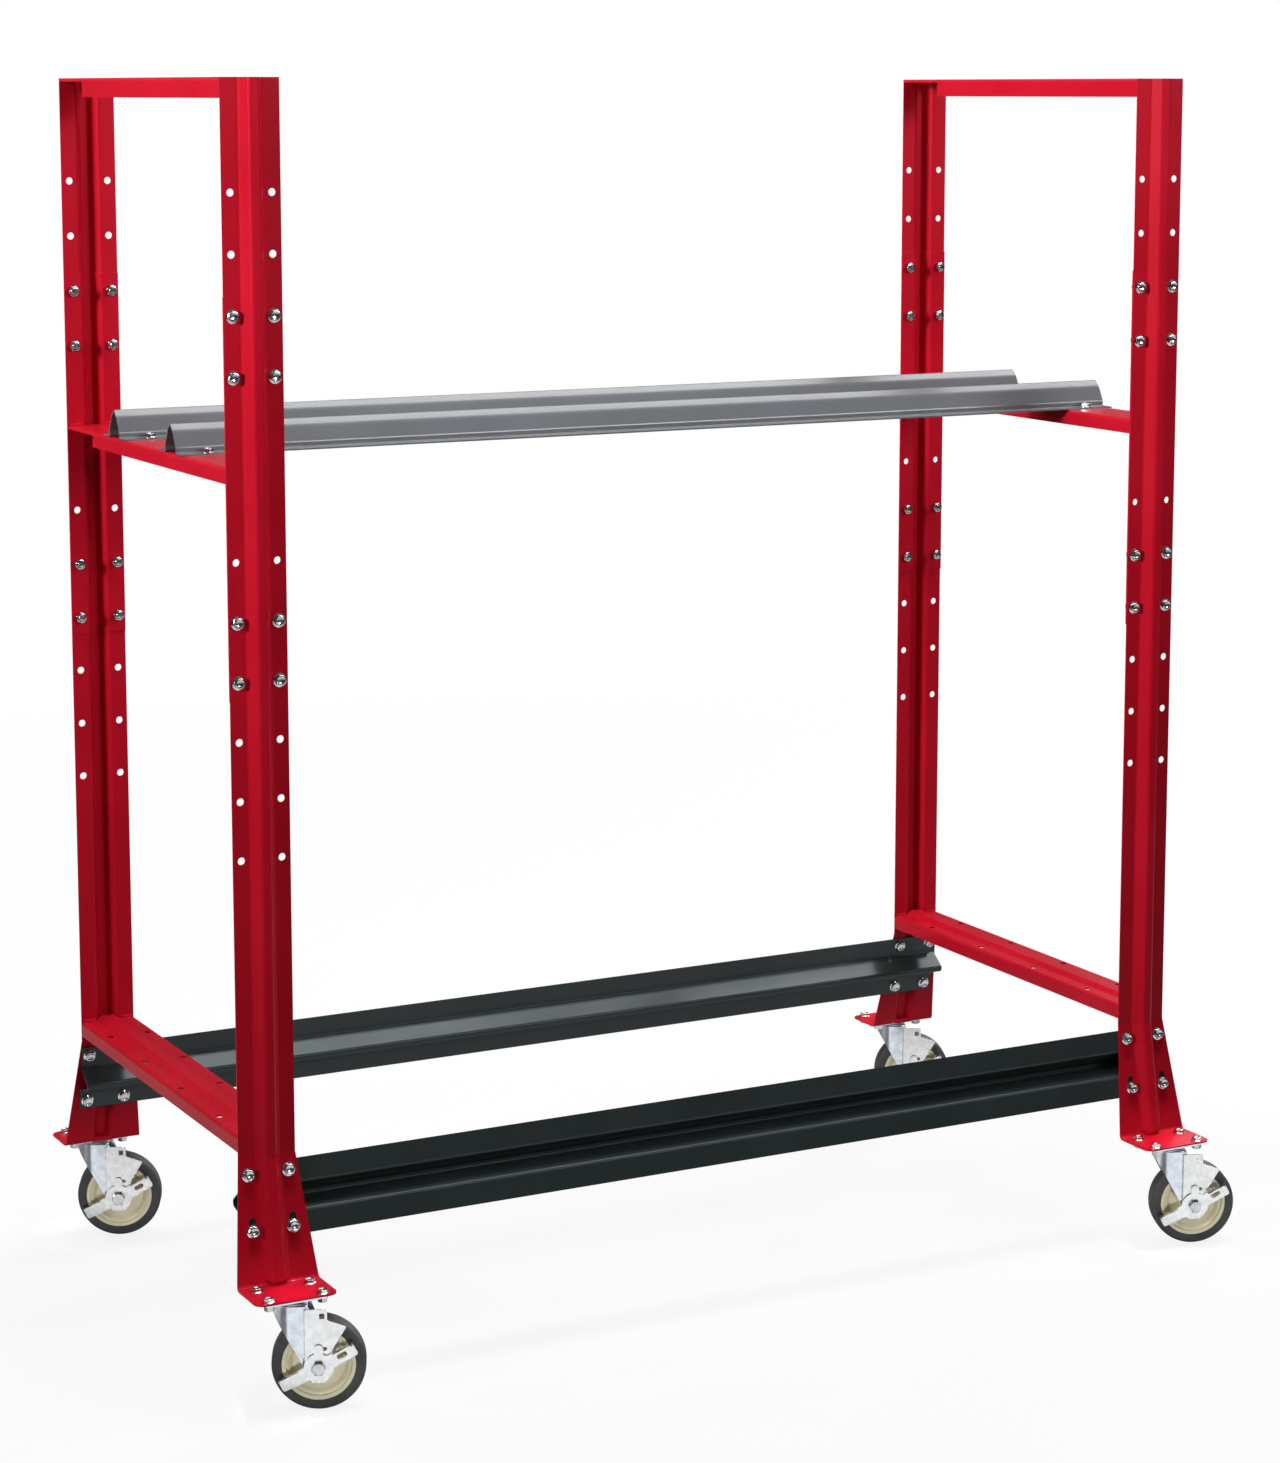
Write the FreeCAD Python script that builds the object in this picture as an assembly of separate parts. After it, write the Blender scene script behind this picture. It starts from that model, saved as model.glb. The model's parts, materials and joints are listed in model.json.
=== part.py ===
import FreeCAD, Part
import math
import os
from FreeCAD import Vector

# A tire cart: two bolted end frames of ribbed sheet posts, joined by two lower and two upper rails,
# on four swivel casters with side brakes. Millimetres, X to the right, Y to the rear, Z up from the floor.

# Frame
FRAME_WIDTH = 1524.0         # over the outer edges of the left and right posts
FRAME_DEPTH = 650.0          # over the outer faces of the front and rear post flats
FRAME_HEIGHT = 1610.0        # from the underside of the feet to the top of the top bars
SHELF_HEIGHT = 1105.0        # from the underside of the feet to the top of the shelf bearers
BRACE_HEIGHT = 202.0         # from the underside of the feet to the top of the bottom braces
SHEET = 2.0                  # thickness of the formed sheet
BEND = 3.0                   # inside radius of the other bends

# Post section: two flats with a rib between them that stands outwards
POST_WIDTH = 82.0
RIB_BASE = 32.0
RIB_CROWN = 12.0
RIB_DEPTH = 18.0
POST_BEND = 4.0              # inside radius of the bends of posts and legs

# Rows of holes along the posts, counted from the seam between leg and upper post
HOLE_DIAMETER = 10.5
HOLE_EDGE = 12.0             # from the edge of the post to the hole centres
UPPER_FIRST_HOLE = 117.0     # from the seam up to the first row of the upper post
UPPER_LAST_HOLE = 148.0      # from the top of the post down to its last row
LOWER_FIRST_HOLE = 126.0     # from the seam down to the first row of the leg
LOWER_LAST_HOLE = 579.0      # from the underside of the foot up to the last row of the leg
UPPER_ROWS = 4
LOWER_ROWS = 6
UPPER_BOLTED_ROWS = 2        # the rows next to the seam
LOWER_OPEN_ROWS = 1          # the row next to the seam, which stays open
LOWER_BOLTED_ROWS = 2        # the rows below it
SPLICE_END = 25.0            # from the last bolt row to the end of the splice

# Foot of the leg
FLARE_HEIGHT = 172.0         # height over which the foot leans out and widens
FLARE_OUT = 36.0             # how far the foot leans out
FOOT_WIDTH = 118.0
FOOT_BEND = 6.0              # inside radius of the bend into the lip
LIP_DEPTH = 74.0             # from the foot of the wall to the outer edge of the lip
LIP_CORNER = 15.0
RIB_TOE_DEPTH = 11.0         # depth of the rib where the bend begins
RIB_END_DEPTH = 5.0          # depth of the rib where it meets the lip

# Cross members of the end frames
BEARER_LIP = 22.0
BEARER_NOTCH = 110.0         # length cut out of both lips at the rear end of a shelf bearer
TOP_BAR_LIP = 27.0
TOP_BAR_NOTCH = 100.0        # the same at the rear end of a top bar
BRACE_LIP = 22.0
BEAD_BASE = 34.0
BEAD_CROWN = 20.0
BEAD_DEPTH = 6.0
BRACE_HOLE_PITCH = 150.0
BRACE_HOLES = 4              # along each flat of a brace

# Lower rails, bolted to the leaning inner faces of the feet
RAIL_CENTRE = 111.0          # height of the rail's middle above the underside of the feet
RAIL_WIDTH = 102.0
RAIL_BASE = 36.0
RAIL_CROWN = 6.0
RAIL_DEPTH = 32.0
RAIL_BOLT_ROWS = 76.0        # between the two rows of bolts
SLOT_RISE = 13.0             # the lower holes of the feet are slots that run up this far

# Upper rails, on the shelf bearers
UPPER_RAIL_SPACING = 230.0   # between the middles of the two rails
UPPER_RAIL_BASE = 40.0
UPPER_RAIL_FLANGE = 24.0
UPPER_RAIL_LEG = 9.0
UPPER_RAIL_RISE = 38.0
UPPER_RAIL_CROWN = 9.0

# Bolts and nuts
BOLT_DIAMETER = 9.5
BOLT_FLANGE = 19.0
BOLT_FLANGE_HEIGHT = 1.5
BOLT_HEX = 14.3              # across flats
BOLT_HEAD = 6.0              # whole height of the head
NUT_HEIGHT = 8.0
NUT_CLEARANCE = 0.1          # radial, nut over bolt
BOLT_END = 2.0               # bolt past its nut
CHAMFER_CIRCLE = 0.95        # flat circle on a head or nut, as a share of the size across flats
CHAMFER_SLOPE = math.radians(30)
CASTER_BOLT_DIAMETER = 7.9
CASTER_BOLT_FLANGE = 17.0
CASTER_BOLT_HEX = 12.7
CASTER_BOLT_HEAD = 6.0
CASTER_NUT_HEIGHT = 6.5
CASTER_HOLE = 8.7
CASTER_BOLT_END = 0.8

# Caster
CASTER_HEIGHT = 157.0        # floor to the top of the plate
TRAIL = 38.0                 # wheel axle behind the kingpin
SWIVEL_REST = -24.0          # degrees that the casters stand turned about their kingpins
PLATE_LENGTH = 92.0
PLATE_WIDTH = 60.0
PLATE_THICKNESS = 3.0
PLATE_CORNER = 8.0
PLATE_BOLTS_X = 76.2
PLATE_BOLTS_Y = 44.5
PLATE_EDGE = 10.0            # outer bolt row to the outer edge of the foot lip
CUP_TOP_RADIUS = 14.0
CUP_FLOOR_RADIUS = 12.0
BALL_DIAMETER = 6.0
BALL_CIRCLE = 10.8           # radius of the ring of balls
BALL_COUNT = 10
BALL_GAP = 0.15
KINGPIN_DIAMETER = 10.0
KINGPIN_FIT = 0.06
KINGPIN_HEAD_RADIUS = 9.0
KINGPIN_HEAD_HEIGHT = 3.5
KINGPIN_COLLAR_RADIUS = 9.0
KINGPIN_COLLAR_HEIGHT = 4.5

# Fork
FORK_TOP_GAP = 3.0           # underside of the plate to the top of the fork
POCKET_DROP = 21.0           # top of the plate to the floor of the fork's pocket, which the balls run on
POCKET_GAP = 1.0             # between the cup of the plate and the wall of the pocket
POCKET_ROUND = 4.5           # outside radius at the foot of the pocket
CROWN_THICKNESS = 3.0
FORK_WIDTH = 50.0
FORK_WALL = 2.5
FORK_NOSE_SKIRT = 9.0        # height of the fork at the nose
FORK_BOSS_RADIUS = 17.0
FORK_BACK = 23.0             # kingpin to the rear edge of the crown
FORK_PRESS = 4.5             # outside radius between crown and sides

# Wheel
WHEEL_DIAMETER = 127.0
WHEEL_WIDTH = 32.0
TREAD_THICKNESS = 13.9
TREAD_SHOULDER = 5.5
RIM_INSET = 1.0              # rim face inside the tread face
RIM_BAND = 5.5
RIM_STEP = 4.0
DISH_DEPTH = 4.5
CORE_ROUND = 1.2             # radius on the moulded steps of the core
HUB_RADIUS = 15.0
HUB_GAP = 0.5
SLEEVE_RADIUS = 7.0
SLEEVE_FIT = 0.08

# Axle and brake
AXLE_DIAMETER = 9.5
AXLE_FIT = 0.05
AXLE_HEX = 17.0
AXLE_HEAD = 6.0
AXLE_NUT = 8.0
AXLE_END = 2.0
BRAKE_GAP = 0.2              # between the stacked plates of the brake
SHOE_THICKNESS = 2.0
SHOE_REST_GAP = 1.8          # shoe above the tread with the brake off
SHOE_TRAVEL = 1.5
SHOE_FLANGE_WIDTH = 14.0
SHOE_LEFT = 18.0             # axle to the left edge of the shoe plate
SHOE_TOP_RIGHT = 12.0
SHOE_RISE = 15.0             # top of the shoe plate above its flange
SHOE_TIP_RIGHT = 38.0
SHOE_TIP_DROP = 9.0          # tip of the shoe plate below its flange
SHOE_WAIST_RIGHT = 21.0
SHOE_WAIST_HEIGHT = 29.0
SHOE_TAIL = 21.0             # tail of the shoe plate below the axle
SHOE_TAIL_WIDTH = 19.0
SHOE_CORNER = 2.5
SHOE_SLOT_FIT = 0.2
LEVER_THICKNESS = 2.5
LEVER_DISC_RADIUS = 20.0
LEVER_ARM_WIDTH = 19.0
LEVER_ARM_LENGTH = 56.0
PEDAL_DEPTH = 12.0
LEVER_LOW_ANGLE = 205.0      # degrees from the trailing direction
LEVER_HIGH_ANGLE = 29.0
LEVER_WINDOW_LENGTH = 15.0
LEVER_WINDOW_WIDTH = 7.0
LEVER_WINDOW_AT = 36.0
LEVER_END_ROUND = 3.5
LEVER_TRAVEL = 20.0          # degrees from brake off to brake on
PIN_RADIUS = 2.2             # drive pin of the lever, above the axle
PIN_HEIGHT = 26.0
PIN_SLOT_FIT = 0.5
PIN_EAR = 6.0                # radius of the lever about the pin

# Derived places
FOOT_Z = CASTER_HEIGHT
TOP_Z = FOOT_Z + FRAME_HEIGHT
SEAM_Z = FOOT_Z + SHELF_HEIGHT
FLARE_Z = FOOT_Z + FLARE_HEIGHT
INNER_FACE = FRAME_DEPTH / 2 - SHEET
POST_X = FRAME_WIDTH / 2 - POST_WIDTH / 2
HOLE_SPREAD = POST_WIDTH - 2 * HOLE_EDGE
LEAN = math.atan2(FLARE_OUT, FLARE_HEIGHT)
KINGPIN_OUT = FLARE_OUT + LIP_DEPTH - PLATE_EDGE - PLATE_BOLTS_Y / 2
CASTER_Y = INNER_FACE + KINGPIN_OUT
UPPER_PITCH = (FRAME_HEIGHT - SHELF_HEIGHT - UPPER_FIRST_HOLE - UPPER_LAST_HOLE) / (UPPER_ROWS - 1)
LOWER_PITCH = (SHELF_HEIGHT - LOWER_FIRST_HOLE - LOWER_LAST_HOLE) / (LOWER_ROWS - 1)
UPPER_ROW_Z = [SEAM_Z + UPPER_FIRST_HOLE + UPPER_PITCH * row for row in range(UPPER_ROWS)]
LOWER_ROW_Z = [SEAM_Z - LOWER_FIRST_HOLE - LOWER_PITCH * row for row in range(LOWER_ROWS)]
SPLICE_OPEN_Z = LOWER_ROW_Z[:LOWER_OPEN_ROWS]
SPLICE_BOLT_Z = UPPER_ROW_Z[:UPPER_BOLTED_ROWS] + LOWER_ROW_Z[LOWER_OPEN_ROWS:LOWER_OPEN_ROWS + LOWER_BOLTED_ROWS]
SPLICE_TOP_Z = max(SPLICE_BOLT_Z) + SPLICE_END
SPLICE_BOTTOM_Z = min(SPLICE_BOLT_Z) - SPLICE_END
AXLE_Z = WHEEL_DIAMETER / 2
FORK_TOP_Z = CASTER_HEIGHT - PLATE_THICKNESS - FORK_TOP_GAP
POCKET_FLOOR_Z = CASTER_HEIGHT - POCKET_DROP
POCKET_BOTTOM_Z = POCKET_FLOOR_Z - CROWN_THICKNESS
CUP_BOTTOM_Z = POCKET_FLOOR_Z + BALL_DIAMETER + 2 * BALL_GAP
CUP_FLOOR_Z = CUP_BOTTOM_Z + PLATE_THICKNESS
FORK_OUTER = FORK_WIDTH / 2
FORK_INNER = FORK_OUTER - FORK_WALL
SHOE_FACE = FORK_OUTER + BRAKE_GAP
LEVER_FACE = SHOE_FACE + SHOE_THICKNESS + BRAKE_GAP
AXLE_SEAT = LEVER_FACE + LEVER_THICKNESS + BRAKE_GAP
CORE_RADIUS = WHEEL_DIAMETER / 2 - TREAD_THICKNESS
PAST = 10.0                  # how far cutting shapes reach past what they cut
FULL_ROUND = 0.999           # corner radius of a slot as a share of half its width

UP = Vector(0, 0, 1)
ALONG_X = Vector(1, 0, 0)
ALONG_Y = Vector(0, 1, 0)


# Sheet sections

def corner_arc(before, corner, after, radius):
    """Start, middle and end of the arc that rounds a corner, as (u, v) pairs."""
    b = Vector(before[0] - corner[0], before[1] - corner[1], 0).normalize()
    a = Vector(after[0] - corner[0], after[1] - corner[1], 0).normalize()
    half = b.getAngle(a) / 2
    middle = Vector(b + a).normalize()
    at = Vector(corner[0], corner[1], 0)
    centre = at + middle * (radius / math.sin(half))
    reach = radius / math.tan(half)
    return at + b * reach, centre - middle * radius, at + a * reach


def rounded_wire(points, radii, to_space):
    """A closed wire through (u, v) points with each corner rounded; to_space(u, v) places it."""
    count = len(points)
    stops = []
    for i, (point, radius) in enumerate(zip(points, radii)):
        if radius > 0:
            stops.append(corner_arc(points[i - 1], point, points[(i + 1) % count], radius))
        else:
            stops.append((Vector(point[0], point[1], 0),))
    edges = []
    for i, stop in enumerate(stops):
        if len(stop) == 3:
            edges.append(Part.Arc(*[to_space(p.x, p.y) for p in stop]).toShape())
        start, end = stop[-1], stops[(i + 1) % count][0]
        edges.append(Part.LineSegment(to_space(start.x, start.y), to_space(end.x, end.y)).toShape())
    return Part.Wire(edges)


def sheet_wire(path, thickness, radius, to_space):
    """The section of a bent sheet: path is one face, the thickness lies on its left, radius is inside the bends."""
    directions = [Vector(b[0] - a[0], b[1] - a[1], 0).normalize() for a, b in zip(path, path[1:])]
    lefts = [Vector(-d.y, d.x, 0) for d in directions]
    far_side, near_radii, far_radii = [], [], []
    for i, point in enumerate(path):
        one = lefts[max(i - 1, 0)]
        two = lefts[min(i, len(lefts) - 1)]
        shift = (one + two) * (thickness / (1 + one.dot(two)))
        far_side.append((point[0] + shift.x, point[1] + shift.y))
        turn = one.cross(two).z
        inside = 0.0 if i in (0, len(path) - 1) else radius
        outside = inside + thickness if inside else 0.0
        near_radii.append(outside if turn > 0 else inside)
        far_radii.append(inside if turn > 0 else outside)
    points = list(path) + far_side[::-1]
    return rounded_wire(points, near_radii + far_radii[::-1], to_space)


def hat_path(width, base, crown, depth, offset=0.0):
    """Flat, rib, flat: the face of a ribbed sheet, with the rib standing up from the line v = offset."""
    half = [(-width / 2, 0), (-base / 2, 0), (-crown / 2, depth)]
    whole = half + [(-u, v) for u, v in half[::-1]]
    return [(u, v + offset) for u, v in whole]


def channel_path(width, lip, rib=()):
    """The outer face of a channel with its web on top, walked from right to left; rib holds extra web points."""
    right = [(width / 2, -lip), (width / 2, 0)] + list(rib)
    return right + [(-u, v) for u, v in right[::-1]]


def extrude(wire, vector):
    return Part.Face(wire).extrude(vector)


def rod(radius, base, direction, length):
    return Part.makeCylinder(radius, length, base, direction)


def revolve(points, radii, to_space, base, axis):
    return Part.Face(rounded_wire(points, radii, to_space)).revolve(base, axis, 360)


def upright(radius, z):
    """Places a section (radius, z) for turning about the Z axis."""
    return Vector(radius, 0, z)


def at_front(z):
    """Places a section (u across, v outwards) at height z on the inner face of the front posts."""
    return lambda u, v: Vector(u, -(INNER_FACE + v), z)


def four_corners(front_shape):
    """The shape of a front corner, copied to the four corners by moving and half turns."""
    corners = {}
    for side, x in (("left", -POST_X), ("right", POST_X)):
        front = front_shape.copy()
        front.translate(Vector(x, 0, 0))
        rear = front_shape.copy()
        rear.rotate(Vector(0, 0, 0), UP, 180)
        rear.translate(Vector(x, 0, 0))
        corners["front_" + side] = front
        corners["rear_" + side] = rear
    return corners


# Posts

def flat_holes(rows):
    """Cutting rods through both flats of a front post at the given heights."""
    start = -(INNER_FACE + SHEET + PAST)
    return [rod(HOLE_DIAMETER / 2, Vector(x, start, z), ALONG_Y, 2 * PAST + 2 * SHEET)
            for z in rows for x in (-HOLE_SPREAD / 2, HOLE_SPREAD / 2)]


def post_length(bottom, top):
    path = hat_path(POST_WIDTH, RIB_BASE, RIB_CROWN, RIB_DEPTH)
    return extrude(sheet_wire(path, SHEET, POST_BEND, at_front(bottom)), UP * (top - bottom))


def upper_post():
    return post_length(SEAM_Z, TOP_Z).cut(flat_holes(UPPER_ROW_Z))


def splice():
    """The channel nested inside the rib of leg and upper post, lying on their inner faces."""
    slope = math.atan2(RIB_DEPTH, (RIB_BASE - RIB_CROWN) / 2)
    narrower = 2 * SHEET * math.tan(slope / 2)
    path = hat_path(POST_WIDTH, RIB_BASE - narrower, RIB_CROWN - narrower, RIB_DEPTH, -SHEET)
    wire = sheet_wire(path, SHEET, BEND, at_front(SPLICE_BOTTOM_Z))
    body = extrude(wire, UP * (SPLICE_TOP_Z - SPLICE_BOTTOM_Z))
    return body.cut(flat_holes(SPLICE_BOLT_Z + SPLICE_OPEN_Z))


def lean_out(height):
    """How far the inner face of the foot stands out at a height above the underside of the feet."""
    return FLARE_OUT * (1 - height / FLARE_HEIGHT)


def foot_width(height):
    return POST_WIDTH + (FOOT_WIDTH - POST_WIDTH) * (1 - height / FLARE_HEIGHT)


def foot_wall(bend_height):
    """The leaning, widening stretch of the leg, from the straight post down to the bend."""
    straight = hat_path(POST_WIDTH, RIB_BASE, RIB_CROWN, RIB_DEPTH)
    wide = hat_path(foot_width(bend_height), RIB_BASE, RIB_CROWN, RIB_TOE_DEPTH, lean_out(bend_height))
    top = sheet_wire(straight, SHEET, POST_BEND, at_front(FLARE_Z))
    bottom = sheet_wire(wide, SHEET / math.cos(LEAN), POST_BEND, at_front(FOOT_Z + bend_height))
    return Part.makeLoft([top, bottom], True, True)


def foot_lip(bend_height):
    """The bend and the turned-out lip, trimmed to the outline of the foot."""
    path = [(0, FLARE_HEIGHT), (FLARE_OUT, 0), (FLARE_OUT + LIP_DEPTH, 0)]
    side = sheet_wire(path, SHEET, FOOT_BEND,
                      lambda v, z: Vector(-FOOT_WIDTH, -(INNER_FACE + v), FOOT_Z + z))
    bent = extrude(side, ALONG_X * (2 * FOOT_WIDTH))
    wide, narrow = FOOT_WIDTH / 2, foot_width(bend_height) / 2
    trim = [(-wide, -PAST), (-wide, 0), (-narrow, bend_height), (narrow, bend_height), (wide, 0), (wide, -PAST)]
    front_view = rounded_wire(trim, [0] * len(trim), lambda u, z: Vector(u, PAST, FOOT_Z + z))
    bent = bent.common(extrude(front_view, ALONG_Y * -(FRAME_DEPTH + LIP_DEPTH)))
    outer = FLARE_OUT + LIP_DEPTH
    plan = [(-wide, -PAST), (-wide, outer), (wide, outer), (wide, -PAST)]
    top_view = rounded_wire(plan, [0, LIP_CORNER, LIP_CORNER, 0], at_front(FOOT_Z - PAST))
    return bent.common(extrude(top_view, UP * (FLARE_HEIGHT + PAST)))


def rib_toe(bend_height):
    """The closed end of the rib, run out over the bend onto the lip."""
    def outline(height, depth):
        lean = lean_out(height)
        face = lean + SHEET / math.cos(LEAN)
        points = [(-RIB_BASE / 2, lean), (-RIB_CROWN / 2, face + depth), (RIB_CROWN / 2, face + depth), (RIB_BASE / 2, lean)]
        return rounded_wire(points, [0, POST_BEND, POST_BEND, 0], at_front(FOOT_Z + height))
    return Part.makeLoft([outline(bend_height, RIB_TOE_DEPTH), outline(SHEET / 2, RIB_END_DEPTH)], True, True)


def on_wall(along, inward, x):
    """A point by its place on the leaning inner face of a front foot: along it from the rail's middle, and off it."""
    out = lean_out(RAIL_CENTRE) - along * math.sin(LEAN) - inward * math.cos(LEAN)
    height = FOOT_Z + RAIL_CENTRE + along * math.cos(LEAN) - inward * math.sin(LEAN)
    return Vector(x, -(INNER_FACE + out), height)


WALL_INWARD = on_wall(0, 1, 0) - on_wall(0, 0, 0)
RAIL_BOLT_ALONG = (RAIL_BOLT_ROWS / 2, -RAIL_BOLT_ROWS / 2)


def rail_hole(x, along):
    return rod(HOLE_DIAMETER / 2, on_wall(along, -PAST, x), WALL_INWARD, 2 * PAST)


def rail_slot(x):
    """A slot in the foot that runs up from the lower bolt of the rail."""
    r = HOLE_DIAMETER / 2
    low = -RAIL_BOLT_ROWS / 2
    points = [(-r, low - r), (r, low - r), (r, low + SLOT_RISE + r), (-r, low + SLOT_RISE + r)]
    rounding = FULL_ROUND * r
    wire = rounded_wire(points, [rounding] * len(points), lambda u, s: on_wall(s, -PAST, x + u))
    return extrude(wire, WALL_INWARD * (2 * PAST))


def caster_bolt_places():
    """Places of the four caster bolts about the kingpin, as (x, y)."""
    return [(sx * PLATE_BOLTS_X / 2, sy * PLATE_BOLTS_Y / 2) for sx in (-1, 1) for sy in (-1, 1)]


def leg():
    bend_height = SHEET + (FOOT_BEND + SHEET) * math.tan((math.pi / 2 - LEAN) / 2)
    body = post_length(FLARE_Z, SEAM_Z)
    body = body.fuse([foot_wall(bend_height), foot_lip(bend_height), rib_toe(bend_height)]).removeSplitter()
    cuts = flat_holes(LOWER_ROW_Z)
    for x in (-HOLE_SPREAD / 2, HOLE_SPREAD / 2):
        cuts += [rail_hole(x, RAIL_BOLT_ROWS / 2), rail_slot(x)]
    cuts += [rod(CASTER_HOLE / 2, Vector(x, y - CASTER_Y, FOOT_Z - PAST), UP, 2 * PAST)
             for x, y in caster_bolt_places()]
    return body.cut(cuts)


# End frames and rails

def cross_member(path, top, half_length):
    """A channel that runs from front to rear, with its web at height top, for x = 0."""
    wire = sheet_wire(path, SHEET, BEND, lambda u, z: Vector(u, -half_length, top + z))
    return extrude(wire, ALONG_Y * (2 * half_length))


def upper_rail_bolt_ys():
    reach = UPPER_RAIL_BASE / 2 + SHEET + (BEND + UPPER_RAIL_FLANGE) / 2
    return [middle * UPPER_RAIL_SPACING / 2 + side * reach for middle in (-1, 1) for side in (-1, 1)]


def lip_notch(length, lip, top, half_length):
    """Cuts both lips of a cross member away at its rear end."""
    return Part.makeBox(2 * POST_WIDTH, length, lip - SHEET - BEND,
                        Vector(-POST_WIDTH, half_length - length, top - lip))


def shelf_bearer():
    half_length = INNER_FACE - SHEET
    bearer = cross_member(channel_path(POST_WIDTH, BEARER_LIP), SEAM_Z, half_length)
    holes = [rod(HOLE_DIAMETER / 2, Vector(0, y, SEAM_Z - PAST), UP, 2 * PAST) for y in upper_rail_bolt_ys()]
    return bearer.cut([lip_notch(BEARER_NOTCH, BEARER_LIP, SEAM_Z, half_length)] + holes)


def top_bar():
    bar = cross_member(channel_path(POST_WIDTH, TOP_BAR_LIP), TOP_Z, INNER_FACE)
    return bar.cut(lip_notch(TOP_BAR_NOTCH, TOP_BAR_LIP, TOP_Z, INNER_FACE))


def bottom_brace():
    rib = [(BEAD_BASE / 2, 0), (BEAD_CROWN / 2, BEAD_DEPTH)]
    top = FOOT_Z + BRACE_HEIGHT
    brace = cross_member(channel_path(POST_WIDTH, BRACE_LIP, rib), top, INNER_FACE)
    ys = [BRACE_HOLE_PITCH * (i - (BRACE_HOLES - 1) / 2) for i in range(BRACE_HOLES)]
    holes = [rod(HOLE_DIAMETER / 2, Vector(x, y, top - PAST), UP, 2 * PAST)
             for x in (-HOLE_SPREAD / 2, HOLE_SPREAD / 2) for y in ys]
    return brace.cut(holes)


def both_sides(shape):
    sides = {}
    for side, x in (("left", -POST_X), ("right", POST_X)):
        moved = shape.copy()
        moved.translate(Vector(x, 0, 0))
        sides[side] = moved
    return sides


def lower_rail():
    path = hat_path(RAIL_WIDTH, RAIL_BASE, RAIL_CROWN, RAIL_DEPTH)
    wire = sheet_wire(path, SHEET, BEND, lambda s, n: on_wall(s, n, -FRAME_WIDTH / 2))
    rail = extrude(wire, ALONG_X * FRAME_WIDTH)
    holes = [rail_hole(post + x, along) for post in (-POST_X, POST_X)
             for x in (-HOLE_SPREAD / 2, HOLE_SPREAD / 2) for along in RAIL_BOLT_ALONG]
    return rail.cut(holes)


def upper_rail(y):
    base, crown = UPPER_RAIL_BASE / 2, UPPER_RAIL_CROWN / 2
    half = [(-base - UPPER_RAIL_FLANGE - SHEET, 0), (-base, 0), (-base, UPPER_RAIL_LEG), (-crown, UPPER_RAIL_RISE)]
    path = half + [(-u, v) for u, v in half[::-1]]
    wire = sheet_wire(path, SHEET, BEND, lambda u, v: Vector(-FRAME_WIDTH / 2, y + u, SEAM_Z + v))
    rail = extrude(wire, ALONG_X * FRAME_WIDTH)
    holes = [rod(HOLE_DIAMETER / 2, Vector(x, bolt_y, SEAM_Z - PAST), UP, 2 * PAST)
             for x in (-POST_X, POST_X) for bolt_y in upper_rail_bolt_ys()]
    return rail.cut(holes)


# Bolts and nuts

def hexagon(across_flats, height, both_ends=False):
    """A hexagon that stands on z = 0, with the corners of its top chamfered, or of both ends."""
    corner = across_flats / math.sqrt(3)
    points = [Vector(corner * math.cos(math.radians(60 * i)), corner * math.sin(math.radians(60 * i)), 0)
              for i in range(7)]
    prism = extrude(Part.makePolygon(points), UP * height)
    circle = CHAMFER_CIRCLE * across_flats / 2
    drop = (corner - circle) * math.tan(CHAMFER_SLOPE)
    start = [(circle, 0), (corner, drop)] if both_ends else [(corner, 0)]
    section = [(0, 0)] + start + [(corner, height - drop), (circle, height), (0, height)]
    return prism.common(revolve(section, [0] * len(section), upright, Vector(0, 0, 0), UP))


def turned(shape, seat, direction):
    """A shape built upwards from z = 0, moved to a seat and turned to point along a direction."""
    placed = shape.copy()
    placed.Placement = FreeCAD.Placement(seat, FreeCAD.Rotation(UP, direction))
    return placed


def bolt(diameter, flange, across_flats, head, length):
    """A flanged hexagon bolt with its seat at z = 0 and its head above it."""
    body = rod(flange / 2, Vector(0, 0, 0), UP, BOLT_FLANGE_HEIGHT)
    return body.fuse([hexagon(across_flats, head), rod(diameter / 2, Vector(0, 0, -length), UP, length)])


def nut(diameter, across_flats, height):
    """A nut that stands on z = 0."""
    bore = rod(diameter / 2 + NUT_CLEARANCE, Vector(0, 0, -PAST), UP, height + 2 * PAST)
    return hexagon(across_flats, height, True).cut(bore)


def fastened(places, grip):
    """Frame bolts and nuts at places given as (seat of the head, direction of the head)."""
    one_bolt = bolt(BOLT_DIAMETER, BOLT_FLANGE, BOLT_HEX, BOLT_HEAD, grip + NUT_HEIGHT + BOLT_END)
    one_nut = nut(BOLT_DIAMETER, BOLT_HEX, NUT_HEIGHT)
    bolts = [turned(one_bolt, seat, head) for seat, head in places]
    nuts = [turned(one_nut, seat - head * grip, head * -1) for seat, head in places]
    return bolts, nuts


def splice_fasteners():
    """Eight bolts on each post with their heads outside."""
    places = []
    for x, z in [(side * POST_X + column * HOLE_SPREAD / 2, z)
                 for side in (-1, 1) for column in (-1, 1) for z in SPLICE_BOLT_Z]:
        for outward in (-1, 1):
            places.append((Vector(x, outward * FRAME_DEPTH / 2, z), ALONG_Y * outward))
    return fastened(places, 2 * SHEET)


def rail_fasteners():
    """Four bolts at each end of the lower rails; every head faces the front."""
    places = []
    for x in [side * POST_X + column * HOLE_SPREAD / 2 for side in (-1, 1) for column in (-1, 1)]:
        for along in RAIL_BOLT_ALONG:
            places.append((on_wall(along, -SHEET, x), WALL_INWARD * -1))
            inner = on_wall(along, SHEET, x)
            places.append((Vector(inner.x, -inner.y, inner.z), Vector(0, -WALL_INWARD.y, WALL_INWARD.z)))
    return fastened(places, 2 * SHEET)


def upper_rail_fasteners():
    places = [(Vector(x, y, SEAM_Z + SHEET), UP) for x in (-POST_X, POST_X) for y in upper_rail_bolt_ys()]
    return fastened(places, 2 * SHEET)


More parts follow.
